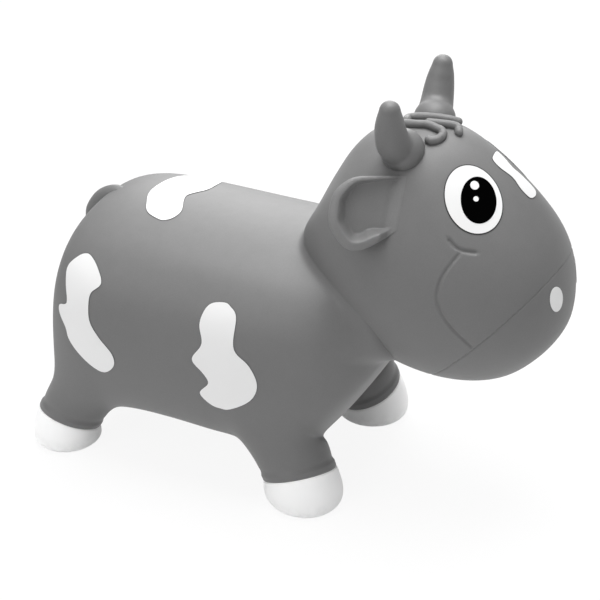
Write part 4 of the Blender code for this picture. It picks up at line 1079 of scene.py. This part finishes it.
def filmPiece(name, outline, centre, right, up, skin, lift, wider=0.0):
    # triangles that fill a closed outline are projected onto the skin and thickened outwards
    right, up = unit(np.array(right, float)), unit(np.array(up, float))
    out = unit(np.cross(right, up))
    up = np.cross(out, right)
    line = grown(outline, wider)
    low, high = line.min(axis=0), line.max(axis=0)
    rows = [np.arange(low[k], high[k], film["grid"]) for k in (0, 1)]
    inner = np.stack(np.meshgrid(*rows), axis=-1).reshape(-1, 2)
    clear = np.linalg.norm(inner[:, None] - line[None], axis=2).min(axis=1) > film["grid"] / 2
    inner = inner[clear & insideOf(inner, line)]
    border = [list(range(len(line)))]
    places = np.vstack([line, inner]).tolist()
    flat, _, faces, *_ = delaunay_2d_cdt(places, [], border, 1, mergeDistance)
    flat = np.array(flat)
    made = newObject(name, np.column_stack([flat, np.full(len(flat), film["standOff"])]), [np.array(faces)])
    made.matrix_world = fromAxes(right, up, out, centre)
    onto(made, skin, lift)
    settled(made)
    turn = np.stack([right, up, out])
    setVertices(made.data, vertexArray(made.data) @ turn + np.array(centre))
    made.matrix_world = fromAxes((1, 0, 0), (0, 1, 0), (0, 0, 1), (0, 0, 0))
    if np.array([face.normal for face in made.data.polygons]).sum(axis=0) @ out < 0:
        made.data.flip_normals()
    wall = made.modifiers.new("Film", "SOLIDIFY")
    wall.thickness = film["thickness"]
    wall.offset = 1
    tidied(settled(made)).data.set_sharp_from_angle(angle=math.radians(film["sharp"]))
    return made


def oval(halfWidth, halfHeight):
    # an ellipse: the half width times the cosine and the half height times the sine
    turn = np.linspace(0, 2 * math.pi, film["ovalPoints"], endpoint=False)
    return np.column_stack([halfWidth * np.cos(turn), halfHeight * np.sin(turn)])


face = {
    "eyeCentre": (0.1843, -0.0458, 0.3358), "eyeOut": (0.478, -0.523, 0.706),
    "eyeUp": (-0.557, 0.442, 0.704), "eyeHalves": (0.0250, 0.0311), "outline": 0.0009,
    "pupilCentre": (0.1887, -0.0448, 0.3357), "pupilUp": (-0.324, 0.656, 0.682),
    "pupilHalves": (0.0161, 0.0211),
    "glints": {"glint_upper": ((0.1822, -0.0390, 0.3459), 0.0040),
               "glint_lower": ((0.1871, -0.0467, 0.3376), 0.0024)},
    "nostrilCentre": (0.2603, -0.0313, 0.2467), "nostrilOut": (0.947, -0.278, 0.162),
    "nostrilUp": (-0.233, -0.249, 0.940), "nostrilHalves": (0.0092, 0.0125),
}


def facePair(name, place, halves, finish, lift, node=None):
    # the same film on both sides; one that stands for a node of its own replaces it
    centre, out, up = place
    made = filmPiece(name + "_right_film", oval(*halves), centre, np.cross(up, out), up, headWhole, lift)
    for piece, side in ((made, "right"), (mirroredPiece(made, name + "_left_film"), "left")):
        own = "%s_%s" % (node or name, side)
        dressed(piece, finish, "trunk", () if node else [own])


eyePlace = (face["eyeCentre"], face["eyeOut"], face["eyeUp"])
eyeHalves = np.array(face["eyeHalves"])
pupilPlace = (face["pupilCentre"], face["eyeOut"], face["pupilUp"])
nostrilPlace = (face["nostrilCentre"], face["nostrilOut"], face["nostrilUp"])
facePair("eye_outline", eyePlace, eyeHalves + face["outline"], "outlinePaint", film["edgeLift"], "pupil")
facePair("eye_white", eyePlace, eyeHalves, "whitePaint", film["lift"])
facePair("pupil", pupilPlace, face["pupilHalves"], "blackPaint", film["lift"] + film["pupilRise"])
for name, (centre, radius) in face["glints"].items():
    place = (centre, face["eyeOut"], face["eyeUp"])
    facePair(name, place, (radius, radius), "whitePaint", film["lift"] + film["glintRise"])
facePair("nostril", nostrilPlace, face["nostrilHalves"], "whitePaint", film["lift"])
print("face done")

# Spots: each closed outline in shares of its size, from its centre
leftSpotOutline = [
    (0.02, 0.50), (-0.10, 0.48), (-0.28, 0.32), (-0.34, 0.06), (-0.20, -0.14), (-0.22, -0.38),
    (0.02, -0.46), (0.28, -0.30), (0.36, -0.02), (0.24, 0.20), (0.14, 0.44),
]
spots = {
    "flank_spot_right": {
        "centre": (-0.0239, -0.121, 0.162), "size": 0.105, "right": (1, 0, 0), "up": (0, 0, 1),
        "outline": [
            (-0.06, 0.51), (-0.17, 0.49), (-0.23, 0.43), (-0.26, 0.30), (-0.22, 0.13), (-0.32, -0.04),
            (-0.21, -0.16), (-0.16, -0.26), (-0.26, -0.39), (-0.16, -0.50), (-0.06, -0.52),
            (0.04, -0.50), (0.25, -0.35), (0.32, -0.17), (0.24, 0.01), (0.09, 0.14), (0.08, 0.41),
            (0.00, 0.49)],
    },
    "rear_spot_right": {
        "centre": (-0.1769, -0.119, 0.173), "size": 0.111, "right": (1, 0, 0), "up": (0, 0, 1),
        "outline": [
            (-0.10, 0.50), (-0.17, 0.46), (-0.25, 0.37), (-0.23, 0.25), (-0.19, 0.09), (-0.29, 0.04),
            (-0.29, -0.04), (-0.21, -0.15), (-0.18, -0.25), (-0.07, -0.37), (0.08, -0.48),
            (0.19, -0.50), (0.29, -0.40), (0.28, -0.28), (0.16, -0.15), (0.07, -0.02), (0.05, 0.11),
            (0.06, 0.24), (0.15, 0.33), (0.07, 0.44), (-0.03, 0.50)],
    },
    "back_spot": {
        "centre": (-0.1439, 0.013, 0.255), "size": 0.123, "right": (1, 0, 0), "up": (0, 1, 0),
        "outline": [
            (0.10, 0.50), (-0.02, 0.50), (-0.17, 0.36), (-0.20, -0.10), (-0.12, -0.33), (-0.05, -0.44),
            (0.05, -0.49), (0.13, -0.50), (0.19, -0.44), (0.20, -0.33), (0.13, -0.16), (0.12, -0.06),
            (0.20, 0.13), (0.17, 0.40)],
    },
    "shoulder_spot_left": {
        "centre": (-0.0139, 0.121, 0.178), "size": 0.08, "right": (-1, 0, 0), "up": (0, 0, 1),
        "outline": leftSpotOutline,
    },
    "haunch_spot_left": {
        "centre": (-0.1339, 0.121, 0.158), "size": 0.1, "right": (1, 0, 0), "up": (0, 0, -1),
        "outline": leftSpotOutline,
    },
}
# each spot gets a thin dark rim under its white film: painted shade along its edge
for node, spot in spots.items():
    outline = np.array(spot["outline"]) * spot["size"]
    place = (spot["centre"], spot["right"], spot["up"], trunkSkin)
    edge = filmPiece(node + "_edge", outline, *place, film["edgeLift"], film["line"])
    made = filmPiece(node + "_film", outline, *place, film["lift"])
    for piece, finish, nodes in ((edge, "spotRimPaintedShade", ()), (made, "whitePaint", [node])):
        dressed(piece, finish, nodes=nodes)
        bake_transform(piece)

brow = {
    "centre": (0.2022, 0.002, 0.339), "out": (0.639, 0, 0.769), "size": 0.053,
    # rightwards and upwards on the brow, seen from ahead
    "outline": [(0.09, 0.50), (-0.10, 0.49), (-0.19, 0.44), (-0.21, 0.26), (-0.16, 0.00),
                (-0.20, -0.20), (-0.19, -0.38), (-0.14, -0.46), (0.00, -0.49), (0.13, -0.46),
                (0.19, -0.40), (0.17, -0.22), (0.13, -0.04), (0.08, 0.12), (0.14, 0.33), (0.16, 0.45)],
}
outline = np.array(brow["outline"]) * brow["size"]
place = (brow["centre"], (0, 1, 0), np.cross(brow["out"], (0, 1, 0)), headWhole)
# the forehead spot's thin dark rim: painted shade along its edge
edge = filmPiece("forehead_spot_edge", outline, *place, film["edgeLift"], film["line"])
dressed(edge, "spotRimPaintedShade", "trunk")
browFilm = filmPiece("forehead_spot_film", outline, *place, film["lift"])
dressed(browFilm, "whitePaint", "trunk", ["forehead_spot"])
bpy.data.objects.remove(headWhole)
print("spots done:", len(spots) + 1)


# Air valve: the CAD pieces keep their shape and get the moulded plastic
for node in ("valve_seat", "valve_plug"):
    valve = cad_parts[node]
    valve.data.materials.clear()
    valve.data.materials.append(materials["valvePlastic"])


# Floor, light and camera

studio = {
    "floorSize": 12.0, "floorGrey": 0.92, "floorRough": 0.9, "floorGlow": 0.90, "worldStrength": 0.46,
    "lamps": {
        "overhead": {"place": (0.02, 0.12, 1.60), "size": 1.1, "watts": 27.0},
        "behind": {"place": (-0.55, 1.60, 1.10), "size": 1.3, "watts": 21.0},
        "key": {"place": (-0.60, -1.65, 1.20), "size": 1.1, "watts": 8.0},
    },
    "aim": (0.0, 0.0, 0.18),
}
camera = {
    "azimuth": 24.774, "elevation": 28.464, "distance": 1.4592, "target": (-0.0038, 0, 0.1703),
    "lens": 87.76, "sensor": 36.0,
}


def floorMaterial():
    # seen by the camera it is nearly all white glow, which keeps a faint shadow
    material = bpy.data.materials.new("paleFloor")
    material.use_nodes = True
    nodes, links = material.node_tree.nodes, material.node_tree.links
    plain = nodes["Principled BSDF"]
    plain.inputs["Base Color"].default_value = greyOf(studio["floorGrey"])
    plain.inputs["Roughness"].default_value = studio["floorRough"]
    glow, path = nodes.new("ShaderNodeEmission"), nodes.new("ShaderNodeLightPath")
    seen = math2(nodes, links, "MAXIMUM", path.outputs["Is Camera Ray"], path.outputs["Is Glossy Ray"])
    seen = math2(nodes, links, "MAXIMUM", seen, path.outputs["Is Transmission Ray"])
    share = math2(nodes, links, "MULTIPLY", seen, studio["floorGlow"])
    mix = nodes.new("ShaderNodeMixShader")
    links.new(share, mix.inputs[0])
    links.new(plain.outputs[0], mix.inputs[1])
    links.new(glow.outputs[0], mix.inputs[2])
    links.new(mix.outputs[0], nodes["Material Output"].inputs["Surface"])
    return material


def whiteWorld():
    # a plain grey light, which the camera sees as white
    world = bpy.data.worlds.new("studio")
    bpy.context.scene.world = world
    world.use_nodes = True
    nodes, links = world.node_tree.nodes, world.node_tree.links
    plain = nodes["Background"]
    plain.inputs["Color"].default_value = greyOf(1)
    plain.inputs["Strength"].default_value = studio["worldStrength"]
    white, path = nodes.new("ShaderNodeBackground"), nodes.new("ShaderNodeLightPath")
    mix = nodes.new("ShaderNodeMixShader")
    white.inputs["Color"].default_value = greyOf(1)
    links.new(path.outputs["Is Camera Ray"], mix.inputs[0])
    links.new(plain.outputs[0], mix.inputs[1])
    links.new(white.outputs[0], mix.inputs[2])
    links.new(mix.outputs[0], nodes["World Output"].inputs["Surface"])


def addFloor():
    # one square, which stays outside the model
    half = studio["floorSize"] / 2
    corners = half * np.array([(-1, -1, 0), (1, -1, 0), (1, 1, 0), (-1, 1, 0)])
    corners = corners + np.array([0, 0, floorHeight])
    floor = newObject("floor", corners, [np.array([(0, 1, 2, 3)])])
    floor.data.materials.append(floorMaterial())


def addLamp(name, lamp):
    # a square soft box that faces the aim
    data = bpy.data.lights.new(name, "AREA")
    data.size = lamp["size"]
    data.energy = lamp["watts"]
    made = bpy.data.objects.new(name, data)
    bpy.context.scene.collection.objects.link(made)
    made.location = lamp["place"]
    made.rotation_euler = (Vector(studio["aim"]) - Vector(lamp["place"])).to_track_quat("-Z", "Y").to_euler()


def addCamera():
    # the photograph's view: on a line from the target at the given azimuth, elevation and distance
    azimuth, elevation = math.radians(camera["azimuth"]), math.radians(camera["elevation"])
    level = math.cos(elevation)
    back = Vector((math.sin(azimuth) * level, -math.cos(azimuth) * level, math.sin(elevation)))
    data = bpy.data.cameras.new("camera")
    data.lens = camera["lens"]
    data.sensor_width = camera["sensor"]
    made = bpy.data.objects.new("camera", data)
    bpy.context.scene.collection.objects.link(made)
    made.location = Vector(camera["target"]) + back * camera["distance"]
    made.rotation_euler = (-back).to_track_quat("-Z", "Y").to_euler()
    bpy.context.scene.camera = made


addFloor()
whiteWorld()
for name, lamp in studio["lamps"].items():
    addLamp(name, lamp)
addCamera()
bpy.context.scene.view_settings.view_transform = "Standard"
